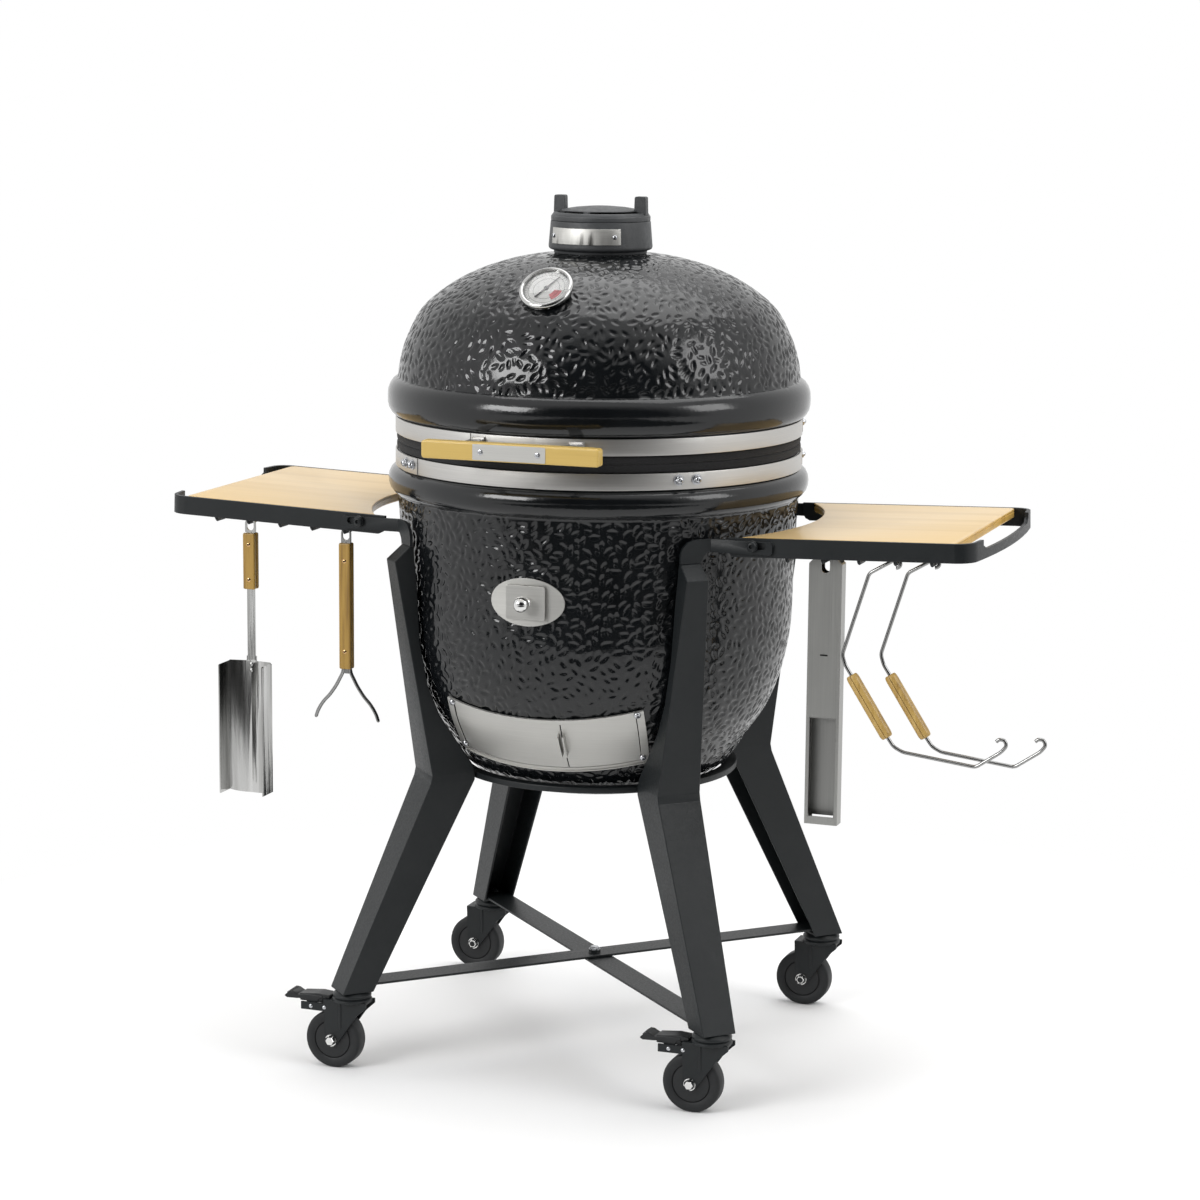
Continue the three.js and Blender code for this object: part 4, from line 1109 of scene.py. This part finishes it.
def make_air_doors():
    first, last, low, high = -29.7, 31.7, -46, 40.5
    rails = [
        leaning_sheet(first, last, 34, high, 0.6, 3.6, 60, 2),
        leaning_sheet(first, last, low + 0.6, -39.9, 0.6, 3.0, 60, 2),
        leaning_sheet(first + 1.2, last - 1.2, low, low + 1.6, 0.6, 4.6, 60, 1),
        leaning_sheet(first, first + 2.2, low + 4, high - 0.2, 3.1, 4.4, 6),
        leaning_sheet(last - 2.2, last, low + 4, high - 0.2, 3.1, 4.4, 6),
    ]
    build("air_door_frame", merged(*rails), "cart", "satin", ("draft_door_frame",), edge=0.25)
    for name, ends, tab in (("left", (-27.3, 7.65), 6.9), ("right", (7.95, 29.3), 8.3)):
        panel = leaning_sheet(*ends, -39.4, 33.5, 1.3, 2.4, 50)
        flange = leaning_sheet(tab, tab + 0.4, -14, 20, 2.0, 12, 2)
        build(f"air_door_{name}", merged(panel, flange), f"door_{name}", "satin",
              (f"draft_door_{name}",), edge=0.2)
    heads = []
    for bearing, height in ((-27.7, 36.0), (-27.7, -33), (29.8, 36.0), (29.8, -35)):
        place, outward = leaning_point(bearing, height, 4.2)
        heads.append(fastened(screw_head(4.6, 3.2), place, outward))
    build("air_door_screws", merged(*heads), "cart", "zinc")


PORT_STEPS = 64
PORT_HALF_WIDTH = 49
PORT_HALF_HEIGHT = 30.5
PORT_HOLE = 22


def port_plate(middle):
    """An oval plate around a round hole, bent to the bowl."""
    points, faces = [], []
    for proud in (0.9, 2.6):
        for half_width, half_height in ((PORT_HALF_WIDTH, PORT_HALF_HEIGHT), (PORT_HOLE, PORT_HOLE)):
            for k in range(PORT_STEPS):
                angle = FULL_TURN * k / PORT_STEPS
                x, z = half_width * cosd(angle), half_height * sind(angle)
                radius = bowl_radius(middle + z) + proud
                points.append((x, -math.sqrt(radius ** 2 - x ** 2), middle + z))
    back_outer, back_inner, front_outer, front_inner = (PORT_STEPS * loop for loop in range(4))
    for k in range(PORT_STEPS):
        n = (k + 1) % PORT_STEPS
        faces.append((front_outer + k, front_outer + n, front_inner + n, front_inner + k))
        faces.append((back_outer + k, back_inner + k, back_inner + n, back_outer + n))
        faces.append((back_outer + k, back_outer + n, front_outer + n, front_outer + k))
        faces.append((back_inner + k, front_inner + k, front_inner + n, back_inner + n))
    return points, faces


def make_feed_port():
    middle = centre("port_cover").z / MM
    build("port_oval", port_plate(middle), "cart", "satin", ("feed_port_plate",), edge=0.4)
    sleeve = lathe([(21, -258), (22, -258), (22, -228), (21, -228)], 48)
    place = at(0, 0, middle) @ turn_about("X", -90)
    build("port_sleeve", moved(sleeve, place), "cart", "band")
    cover = upright(prism(rectangle(52, 43, 3, 4), 2.2), 0, -261.2, middle)
    plug = lathe([(0, 0), (19.4, 0), (19.8, 1), (19.8, 34), (0, 34)], 48)
    plug = moved(plug, facing((0, -262, middle), (0, 1, 0)))
    build("port_stopper", merged(cover, plug), "port", "cover", ("port_cover",), edge=0.5)
    knob = [(0, 24), (3.4, 23.7), (6.4, 22.2), (8.8, 19.4), (9.9, 15.8), (9.9, 12.8), (8.6, 9.2),
            (6.0, 6.6), (4.4, 5.2), (4.0, 3.2), (5.4, 1.4), (6.6, 0), (0, 0)]
    handle = moved(lathe(knob, 64), facing((0, -263, middle), (0, -1, 0)))
    build("port_knob", handle, "port", "chrome")


# ------------------------------------------------------------------ cart


def make_cart():
    for end in ("front", "rear"):
        for side in ("left", "right"):
            soften(f"leg_{end}_{side}", "powder", 2.4, 20, 3)
            soften(f"table_arm_{end}_{side}", "powder", 0.9)
    soften("brace_upper", "powder", 0.6)
    soften("brace_lower", "powder", 0.6)
    low, high = bottom_and_top("support_ring")
    band = rounded([(170, low), (186.5, low), (186.5, high), (170, high)], 1.6, 3)
    build("support_hoop", lathe(band, 160), "cart", "powder", ("support_ring",))
    bolts = [fastened(rivet_head(6.5, 3.2), bearing_point(bearing, 338, 116.6), (0, 0, 1))
             for bearing in (45, 135, 225, 315)]
    build("brace_bolts", merged(*bolts), "cart", "powder")
    nut = moved(hex_head(6.0, 3.4), at(0, 0, bottom_and_top("brace_upper")[1] - 2.6))
    build("brace_nut", nut, "cart", "zinc", slot="band_steel")


# ------------------------------------------------------------------ tables


TABLE_RISE = 1.9  # degrees, towards its outer end
BOARD_END = 254  # from the table's pivot
BOARD_HALF = 162.6  # half its width
BOARD_ARC = 296  # radius around the kettle
BOARD_CORNER = 7
BOARD_TOP = 8.8
BOARD_THICK = 12


def table_place(side):
    """From a table's own axes (out, along the table's width, up) to the kettle's."""
    mirror = Matrix.Diagonal((1 if side == "right" else -1, 1, 1, 1))
    return Matrix.Translation(pivot(f"table_{side}_fold")) @ mirror @ turn_about("Y", -TABLE_RISE)


def board_outline(reach, inset):
    """The board's outline: an arc around the kettle and two rounded outer corners."""
    half = BOARD_HALF - inset
    radius = BOARD_ARC + inset
    widest = math.degrees(math.asin(half / radius))
    points = []
    for k in range(33):
        angle = -widest + 2 * widest * k / 32
        points.append((radius * cosd(angle) - reach, radius * sind(angle)))
    end = BOARD_END - inset
    corner_x, corner_y = end - BOARD_CORNER, half - BOARD_CORNER
    for start, y in ((90, corner_y), (0, -corner_y)):
        for k in range(7):
            angle = start - 15 * k
            points.append((corner_x + BOARD_CORNER * cosd(angle), y + BOARD_CORNER * sind(angle)))
    return points


def make_board(side):
    place = table_place(side)
    reach = abs(pivot(f"table_{side}_fold").x)
    levels = [(1.4, -BOARD_THICK), (0, -BOARD_THICK + 1.4), (0, -4.4), (0.7, -4.0), (0.7, -3.2),
              (0, -2.8), (0, -1.2), (0.4, -0.4), (1.2, 0)]
    points, faces = [], []
    count = len(board_outline(reach, 0))
    for inset, level in levels:
        points += [(x, y, BOARD_TOP + level) for x, y in board_outline(reach, inset)]
    for row in range(0, (len(levels) - 1) * count, count):
        for k in range(count):
            n = (k + 1) % count
            faces.append((row + k, row + n, row + count + n, row + count + k))
    faces.append(tuple(range(count - 1, -1, -1)))
    faces.append(tuple(range((len(levels) - 1) * count, len(levels) * count)))
    piece = build(f"bamboo_board_{side}", moved((points, faces), place), f"table_{side}",
                  ("board", "board_edge"), (f"table_board_{side}",))
    for polygon in piece.data.polygons:
        polygon.material_index = 0 if abs(polygon.normal.z) > 0.9 else 1


def make_tables():
    for side in ("left", "right"):
        soften(f"table_frame_{side}", "powder", 0.9, 36)
        make_board(side)
        place = table_place(side)
        heads = []
        for along in (-1, 1):
            outward = (0, along, 0)
            heads.append(fastened(screw_head(6.4, 4.2), (0, along * 175.8, 0), outward))
            heads.append(fastened(rivet_head(4.2, 2.0), (22, along * 167.6, 1.5), outward))
        build(f"table_bolts_{side}", moved(merged(*heads), place), f"table_{side}", "powder")


# ------------------------------------------------------------------ tools


STRIP_THICK = 2.5
SLOT_RADIUS = 4.8  # of the ends of a hanging slot
SLOT_TOP = -2.1  # middle of its upper end, below the hook
SLOT_BOTTOM = -6.1


def arc(radius, height, first, last):
    """Points on an upright arc around a height on the tool's axis."""
    return [(radius * cosd(a), height + radius * sind(a)) for a in range(first, last + 1, 15)]


def strip_with_eye(width, bottom):
    """A flat strip that hangs by a slot, facing the front and centred on y = 0."""
    outer = arc(width / 2, SLOT_TOP, 0, 180) + [(-width / 2, bottom), (width / 2, bottom)]
    inner = arc(SLOT_RADIUS, SLOT_TOP, 0, 180) + arc(SLOT_RADIUS, SLOT_BOTTOM, 180, 360)
    work = bmesh.new()
    edges = []
    for loop in (outer, inner):
        corners = [work.verts.new((x, -STRIP_THICK / 2, z)) for x, z in loop]
        edges += [work.edges.new((a, b)) for a, b in zip(corners, corners[1:] + corners[:1])]
    bmesh.ops.triangle_fill(work, use_beauty=True, edges=edges)
    grown = bmesh.ops.extrude_face_region(work, geom=work.faces[:])
    verts = [item for item in grown["geom"] if isinstance(item, bmesh.types.BMVert)]
    bmesh.ops.translate(work, vec=(0, STRIP_THICK, 0), verts=verts)
    work.verts.index_update()
    points = [vertex.co.copy() for vertex in work.verts]
    faces = [tuple(vertex.index for vertex in face.verts) for face in work.faces]
    work.free()
    return points, faces


SCALE_GAP = 1.3  # from the middle of the tang to each wooden scale


def wooden_scales(width, depth, top, bottom):
    """Two wooden scales with room for a thin strip of steel between them."""
    half = (depth - 2 * SCALE_GAP) / 2
    corners = [(width / 2, top), (-width / 2, top), (-width / 2, bottom), (width / 2, bottom)]
    slab = prism(rounded(corners, 2.5, 4), half)
    return merged(upright(slab, 0, -SCALE_GAP, 0), upright(slab, 0, SCALE_GAP + half, 0))


def make_wooden_handle(joint, body, node, width, depth, top, bottom, rivets):
    place = Matrix.Translation(pivot(joint))
    scales = wooden_scales(width, depth, top, bottom)
    build(f"{node}_scales", moved(scales, place), body, "scales", (f"{node}_handle",), edge=2.0)

    def on_both_faces(head, proud):
        return merged(*[fastened(head, (0, sign * (depth / 2 + proud), z), (0, sign, 0))
                        for z in rivets for sign in (-1, 1)])

    heads = on_both_faces(rivet_head(3.1, 1.3), -0.2)
    build(f"{node}_rivets", moved(heads, place), body, "brass")
    # A near-black dot in each rivet's middle: painted shade in its hollow.
    hollow_shades = on_both_faces(rivet_head(1.2, 0.4), 1.0)
    build(f"{node}_rivet_hollow_shade", moved(hollow_shades, place), body, "dark", slot="tool_steel")


def make_scoop():
    place = Matrix.Translation(pivot("scoop_hang"))
    make_wooden_handle("scoop_hang", "ash_scoop", "scoop", 17, 15, -14, -89, (-29, -76))
    soften("scoop", "pan", 0.5, 12)
    beads = [fastened(rivet_head(2.6, 1.2), (0, -2.0, z), (0, -1, 0)) for z in (-190, -198)]
    build("scoop_spots", moved(merged(*beads), place), "ash_scoop", "polished")


PRONG_BENDS = [(4.6, -178), (6, -187), (10.5, -196), (15.5, -205), (24, -217), (34, -228),
               (41, -239), (44.5, -248)]


def make_lifter():
    place = Matrix.Translation(pivot("lifter_hang"))
    make_wooden_handle("lifter_hang", "grate_lifter", "lifter", 16.5, 14, -14.5, -181.5, (-38, -158))
    parts = [strip_with_eye(14, -20), upright(prism(rectangle(11, 170), 2.4), 0, 1.2, -103)]
    tip = lathe([(0, 2.3), (1.6, 1.7), (2.4, 0), (0, -0.5)], 14)
    for sign in (-1, 1):
        curve, _ = smooth_path([(sign * x, z) for x, z in PRONG_BENDS], 2.0)
        parts.append(tube([(x, 0, z) for x, z in curve], 2.4, 14))
        end = (curve[-1][0], 0, curve[-1][1])
        parts.append(moved(tip, facing(end, (0.25 * sign, 0, -1))))
    build("lifter_prongs", moved(merged(*parts), place), "grate_lifter", "wire", ("lifter",), edge=0.3)


WINDOW = (-326, -199)  # bottom and top of the feeder's window, below its hook
WINDOW_HALF = 16.9  # from its middle to the middle of each dark outline strip
OUTLINE_WIDTH = 0.9  # width of a dark outline strip, painted shade of the groove round the window


def make_feeder():
    soften("chip_feeder", "upright", 0.6)
    hook = pivot("feeder_hang")
    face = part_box("chip_feeder")[0].y / MM - hook.y
    low, high = WINDOW
    middle = (low + high) / 2
    # A near-black patch on the slot: painted shade in the hole.
    slit_shade = upright(prism(rectangle(10, 2.2, 1, 4), 0.3), 0, face + 0.15, -119)
    # A darker sheet at the back of the window: painted shade in its recess.
    recess_shade = upright(prism(rectangle(36, high - low), 0.4), 0, face + 15.6, middle)
    # Dark strips round the window's sides and top: painted shade of a groove.
    side_outline_shade = prism(rectangle(OUTLINE_WIDTH, high - low + OUTLINE_WIDTH), 0.5)
    outline_shades = [upright(side_outline_shade, side * WINDOW_HALF, face + 0.2, middle) for side in (-1, 1)]
    outline_shades.append(upright(prism(rectangle(2 * WINDOW_HALF, OUTLINE_WIDTH), 0.5), 0, face + 0.2, high + 0.4))
    for name, shape, finish in (("slit_shade", slit_shade, "dark"), ("back_wall_shade", recess_shade, "shaded"),
                                ("window_outline_shade", merged(*outline_shades), "shaded")):
        place = Matrix.Translation(hook)
        build(f"feeder_{name}", moved(shape, place), "feeder", finish, slot="tool_steel")


WIRE_RADIUS = 2.3
WIRE_HOOK = 5.2  # radius of the bend that hangs on the table's hook
GRIP_TOP, GRIP_BOTTOM = (-54, -143), (-6, -218)
WIRE_PATH = [(-34, -14), (-66, -118), (-62, -131), GRIP_TOP, GRIP_BOTTOM, (2, -229), (14, -235),
             (106, -246), (138, -224), (144, -216), (141, -209), (134, -209), (131, -212)]


def make_wire_handle(which):
    place = Matrix.Translation(pivot(f"wire_{which}_hang"))
    body = f"wire_{which}"
    hook = [(x, 0, z) for x, z in arc(WIRE_HOOK, 0, -90, 120)]
    bends = rounded([hook[-1], *[(x, 0, z) for x, z in WIRE_PATH]], 4.5, 5, closed=False)
    wire = tube(hook + [tuple(point) for point in bends[1:]], WIRE_RADIUS, 14)
    build(f"wire_{which}", moved(wire, place), body, "wire", (f"wire_handle_{which}",), angle=60)
    start, end = (Vector((x, 0, z)) for x, z in (GRIP_TOP, GRIP_BOTTOM))
    length = (end - start).length
    half = [(2.5, 0), (6.0, 0), (7.2, 1.2), (7.9, 4.5), (8.0, 7)]
    half += [(radius, length - along) for radius, along in reversed(half)]
    turn = facing(start, end - start)
    scales = [moved(lathe(half, 24, first, first + 176), turn) for first in (92, 272)]
    build(f"wire_grip_{which}_scales", moved(merged(*scales), place), body, "wood",
          (f"wire_grip_{which}",), edge=0.6, angle=45)


# ------------------------------------------------------------------ casters


GROOVE_LEVEL = 9.7  # of the near-black ring that paints shade in its floor, from the middle of the wheel
AXLE_FACE = 15.6  # where the bolt heads stand, from the middle of the wheel
RIVET_FACE = 15.5  # where the brake's rivets stand
PEDAL_WIDTH = 22


def make_wheel(end, side):
    """A hard rubber tyre around a flat plastic hub, with a groove between them."""
    name = f"{end}_{side}"
    body = f"wheel_{name}"
    turn = Matrix.Translation(pivot(f"roll_{name}")) @ turn_about("X", 90)
    half = [(25.0, 10.8), (25.4, 11.2), (33, 11.5), (35.8, 11.1), (37.3, 10.0), (37.9, 8.2), (37.9, 0)]
    tyre = [(23.6, -9.0), (25.0, -9.4), *[(r, -z) for r, z in half], *half[-2::-1], (25.0, 9.4),
            (23.6, 9.0)]
    core = [(4.3, -11.3), (23.5, -11.3), (24.0, -10.8), (24.0, -9.2), (22.9, -9.0), (22.9, 9.0),
            (24.0, 9.2), (24.0, 10.8), (23.5, 11.3), (4.3, 11.3)]
    rubber = moved(lathe(tyre, 96), turn)
    build(f"tyre_{name}", rubber, body, "rubber", (f"caster_wheel_{name}",), angle=50)
    build(f"hub_{name}", moved(lathe(core, 64), turn), body, "plastic", slot="caster_rubber")
    # Near-black rings at the groove's floor: painted shade in the groove.
    floor = lathe([(23.4, -0.4), (25.2, -0.4), (25.2, 0.4), (23.4, 0.4)], 64)
    groove_floor_shades = [moved(floor, at(0, 0, level)) for level in (-GROOVE_LEVEL, GROOVE_LEVEL)]
    build(f"groove_{name}", moved(merged(*groove_floor_shades), turn), body, "dark", slot="caster_rubber")


def make_caster(end, side):
    name = f"{end}_{side}"
    body = f"fork_{name}"
    soften(f"caster_fork_{name}", "powder", 0.7, 36)
    swivel = pivot(f"swivel_{name}")
    axle = pivot(f"roll_{name}")
    race = [(0, 90.6), (24, 90.6), (25.8, 91.6), (25.8, 94.6), (22.6, 96.4), (25.2, 97.6),
            (25.2, 100.4), (22, 103.6), (20.4, 104.7), (0, 104.7)]
    turned = lathe(rounded(race, 0.6, 2, closed=False), 64)
    build(f"race_{name}", moved(turned, at(swivel.x, swivel.y, 0)), body, "powder")
    fold = lathe([(0, 0), (1.6, 0.4), (2.2, 3), (2.2, 33), (1.6, 35.6), (0, 36)], 16)
    heads, folds = [], []
    for sign in (-1, 1):
        face = axle.y + sign * AXLE_FACE
        place = (axle.x, face + sign * 0.8, axle.z)
        heads.append(fastened(hex_head(6.2, 4.6), place, (0, sign, 0)))
        folds.append(moved(fold, at(axle.x + 13, axle.y + sign * 14.6, 54)))
    build(f"axle_bolt_{name}", merged(*heads), body, "chrome", slot="gauge_steel")
    build(f"fork_folds_{name}", merged(*folds), body, "powder")
    if end == "front":
        make_brake(side, swivel)


def make_brake(side, swivel):
    """The pedal that presses down beside a front caster, and the rivets that hold it."""
    rivets = []
    for sign in (-1, 1):
        for x in (-33, -52):
            place = (swivel.x + x, swivel.y + sign * RIVET_FACE, 81)
            rivets.append(fastened(rivet_head(2.6, 1.2), place, (0, sign, 0)))
    build(f"brake_rivets_{side}", merged(*rivets), f"fork_front_{side}", "zinc")
    soften(f"brake_pedal_{side}", "plastic", 1.2, 30)
    skirt = moved(prism(rectangle(34, PEDAL_WIDTH, 3, 4), 6.4), at(swivel.x - 53, swivel.y, 86))
    side_view = [(-70, 90), (-58, 88), (-27, 92.4), (-27, 96.4), (-44, 97.8), (-70, 95.4)]
    lever = prism(rounded(side_view, 1.6, 3), PEDAL_WIDTH)
    lever = upright(lever, swivel.x, swivel.y + PEDAL_WIDTH / 2, 0)
    build(f"pedal_body_{side}", merged(skirt, lever), f"pedal_{side}", "plastic", edge=0.8)
    rib = prism(rectangle(1.2, 20, 0.4, 2), 0.8)
    ribs = [moved(rib, at(swivel.x - 81 - 2.2 * k, swivel.y, 97.4 - 1.6 * max(k - 1, 0)))
            for k in range(4)]
    build(f"pedal_ribs_{side}", merged(*ribs), f"pedal_{side}", "plastic")


# ------------------------------------------------------------------ stage, light and camera


CAMERA_AZIMUTH = 19.87
CAMERA_ELEVATION = 9.94
CAMERA_ROLL = 0.49
CAMERA_DISTANCE = 4253.6
CAMERA_LENS = 96.87
SENSOR_WIDTH = 36
AIM_RIGHT = 3.16
AIM_HEIGHT = 595.06

FLOOR_REACH = 200  # metres, as are the other sizes of the studio
FADE = (0.45, 1.25)  # distances between which the floor turns white
FLAG_CORNERS = ((-9, -30), (9, -30), (2.55, -1.7), (-2.55, -1.7))
FLAG_LIFT = 0.01  # above the floor
WORLD_TONES = ((0.42, (1, 1, 1, 1)), (0.78, (0.012, 0.012, 0.013, 1)))  # place on the ramp, colour
LIGHT_AIM_HEIGHT = 0.6
SOFTBOXES = [  # name, position, size, watts
    ("key_light", (-2.2, -3.6, 2.4), (2.0, 1.5), 95),
    ("side_light", (3.6, -0.4, 2.6), (1.6, 1.9), 40),
    ("top_light", (0, 1.0, 4.2), (4.0, 3.0), 70),
]


def make_stage():
    """A pale floor that turns to plain white away from the grill, so that it has no edge."""
    mesh = bpy.data.meshes.new("studio_floor")
    corners = [(x * FLOOR_REACH, y * FLOOR_REACH, 0) for x, y in ((-1, -1), (1, -1), (1, 1), (-1, 1))]
    mesh.from_pydata(corners, [], [(0, 1, 2, 3)])
    floor = add_item("studio_floor", mesh)
    paper = new_material("pale_paper", (0.88, 0.88, 0.88), 0.9)
    away = add_node(paper, "ShaderNodeVectorMath", operation="LENGTH")
    link(paper, coordinates(paper), away.inputs[0])
    fade = remap(paper, away.outputs["Value"], 0, 1, *FADE)
    glow = add_node(paper, "ShaderNodeEmission", {"Strength": 1.0})
    mixed = add_node(paper, "ShaderNodeMixShader")
    link(paper, fade, mixed.inputs["Fac"])
    link(paper, shader_of(paper).outputs["BSDF"], mixed.inputs[1])
    link(paper, glow.outputs["Emission"], mixed.inputs[2])
    output = next(item for item in paper.node_tree.nodes if item.type == "OUTPUT_MATERIAL")
    link(paper, mixed.outputs["Shader"], output.inputs["Surface"])
    mesh.materials.append(paper)


def make_flag():
    """A dark card on the floor before the grill, which only shows in its reflections."""
    mesh = bpy.data.meshes.new("studio_flag")
    turn = turn_about("Z", CAMERA_AZIMUTH)
    corners = [turn @ Vector((x, y, FLAG_LIFT)) for x, y in FLAG_CORNERS]
    mesh.from_pydata(corners, [], [(0, 1, 2, 3)])
    flag = add_item("studio_flag", mesh)
    flag.visible_camera = flag.visible_diffuse = flag.visible_shadow = False
    mesh.materials.append(new_material("flag_cloth", (0.02, 0.02, 0.02), 1.0, Specular_IOR_Level=0.0))


def make_world():
    """A pale studio that is darker behind the camera, near the horizon."""
    world = bpy.data.worlds.new("studio")
    bpy.context.scene.world = world
    world.use_nodes = True
    tree = world.node_tree
    background = tree.nodes["Background"]
    source = tree.nodes.new("ShaderNodeTexCoord")
    dot = tree.nodes.new("ShaderNodeVectorMath")
    dot.operation = "DOT_PRODUCT"
    azimuth = math.radians(CAMERA_AZIMUTH)
    dot.inputs[1].default_value = (math.sin(azimuth), -math.cos(azimuth), -0.1)
    ramp = tree.nodes.new("ShaderNodeValToRGB")
    for element, (place, color) in zip(ramp.color_ramp.elements, WORLD_TONES):
        element.position = place
        element.color = color
    tree.links.new(source.outputs["Generated"], dot.inputs[0])
    tree.links.new(dot.outputs["Value"], ramp.inputs["Fac"])
    tree.links.new(ramp.outputs["Color"], background.inputs["Color"])
    background.inputs["Strength"].default_value = 1.0


def add_softbox(name, position, size, power):
    light = bpy.data.lights.new(name, "AREA")
    light.shape = "RECTANGLE"
    light.size, light.size_y = size
    light.energy = power
    item = add_item(name, light)
    item.location = position
    towards = Vector((AXIS_X, 0, LIGHT_AIM_HEIGHT)) - Vector(position)
    item.rotation_euler = towards.to_track_quat("-Z", "Y").to_euler()


def make_camera():
    right = Vector((cosd(CAMERA_AZIMUTH), sind(CAMERA_AZIMUTH), 0))
    back = Vector((sind(CAMERA_AZIMUTH) * cosd(CAMERA_ELEVATION),
                   -cosd(CAMERA_AZIMUTH) * cosd(CAMERA_ELEVATION), sind(CAMERA_ELEVATION)))
    up = back.cross(right)
    aim = right * AIM_RIGHT + Vector((0, 0, AIM_HEIGHT))
    rolled_right = right * cosd(CAMERA_ROLL) + up * sind(CAMERA_ROLL)
    rolled_up = up * cosd(CAMERA_ROLL) - right * sind(CAMERA_ROLL)
    data = bpy.data.cameras.new("camera")
    data.lens = CAMERA_LENS
    data.sensor_width = SENSOR_WIDTH
    camera = add_item("camera", data)
    place = Matrix((rolled_right, rolled_up, back)).transposed().to_4x4()
    place.translation = TO_FRAME @ (aim + back * CAMERA_DISTANCE)
    camera.matrix_world = place
    bpy.context.scene.camera = camera


# ------------------------------------------------------------------ the grill

make_camera()
make_bowl()
make_dome()
make_fire_parts()
make_bands()
make_band_bolts()
make_chimney()
make_thermometer()
make_handle()
make_hinge()
make_air_doors()
make_feed_port()
make_cart()
make_tables()
make_scoop()
make_lifter()
make_feeder()
make_wire_handle("inner")
make_wire_handle("outer")
for caster_end in ("front", "rear"):
    for caster_side in ("left", "right"):
        make_caster(caster_end, caster_side)
        make_wheel(caster_end, caster_side)

make_stage()
make_flag()
make_world()
bpy.context.scene.view_settings.view_transform = "Standard"
for softbox in SOFTBOXES:
    add_softbox(*softbox)
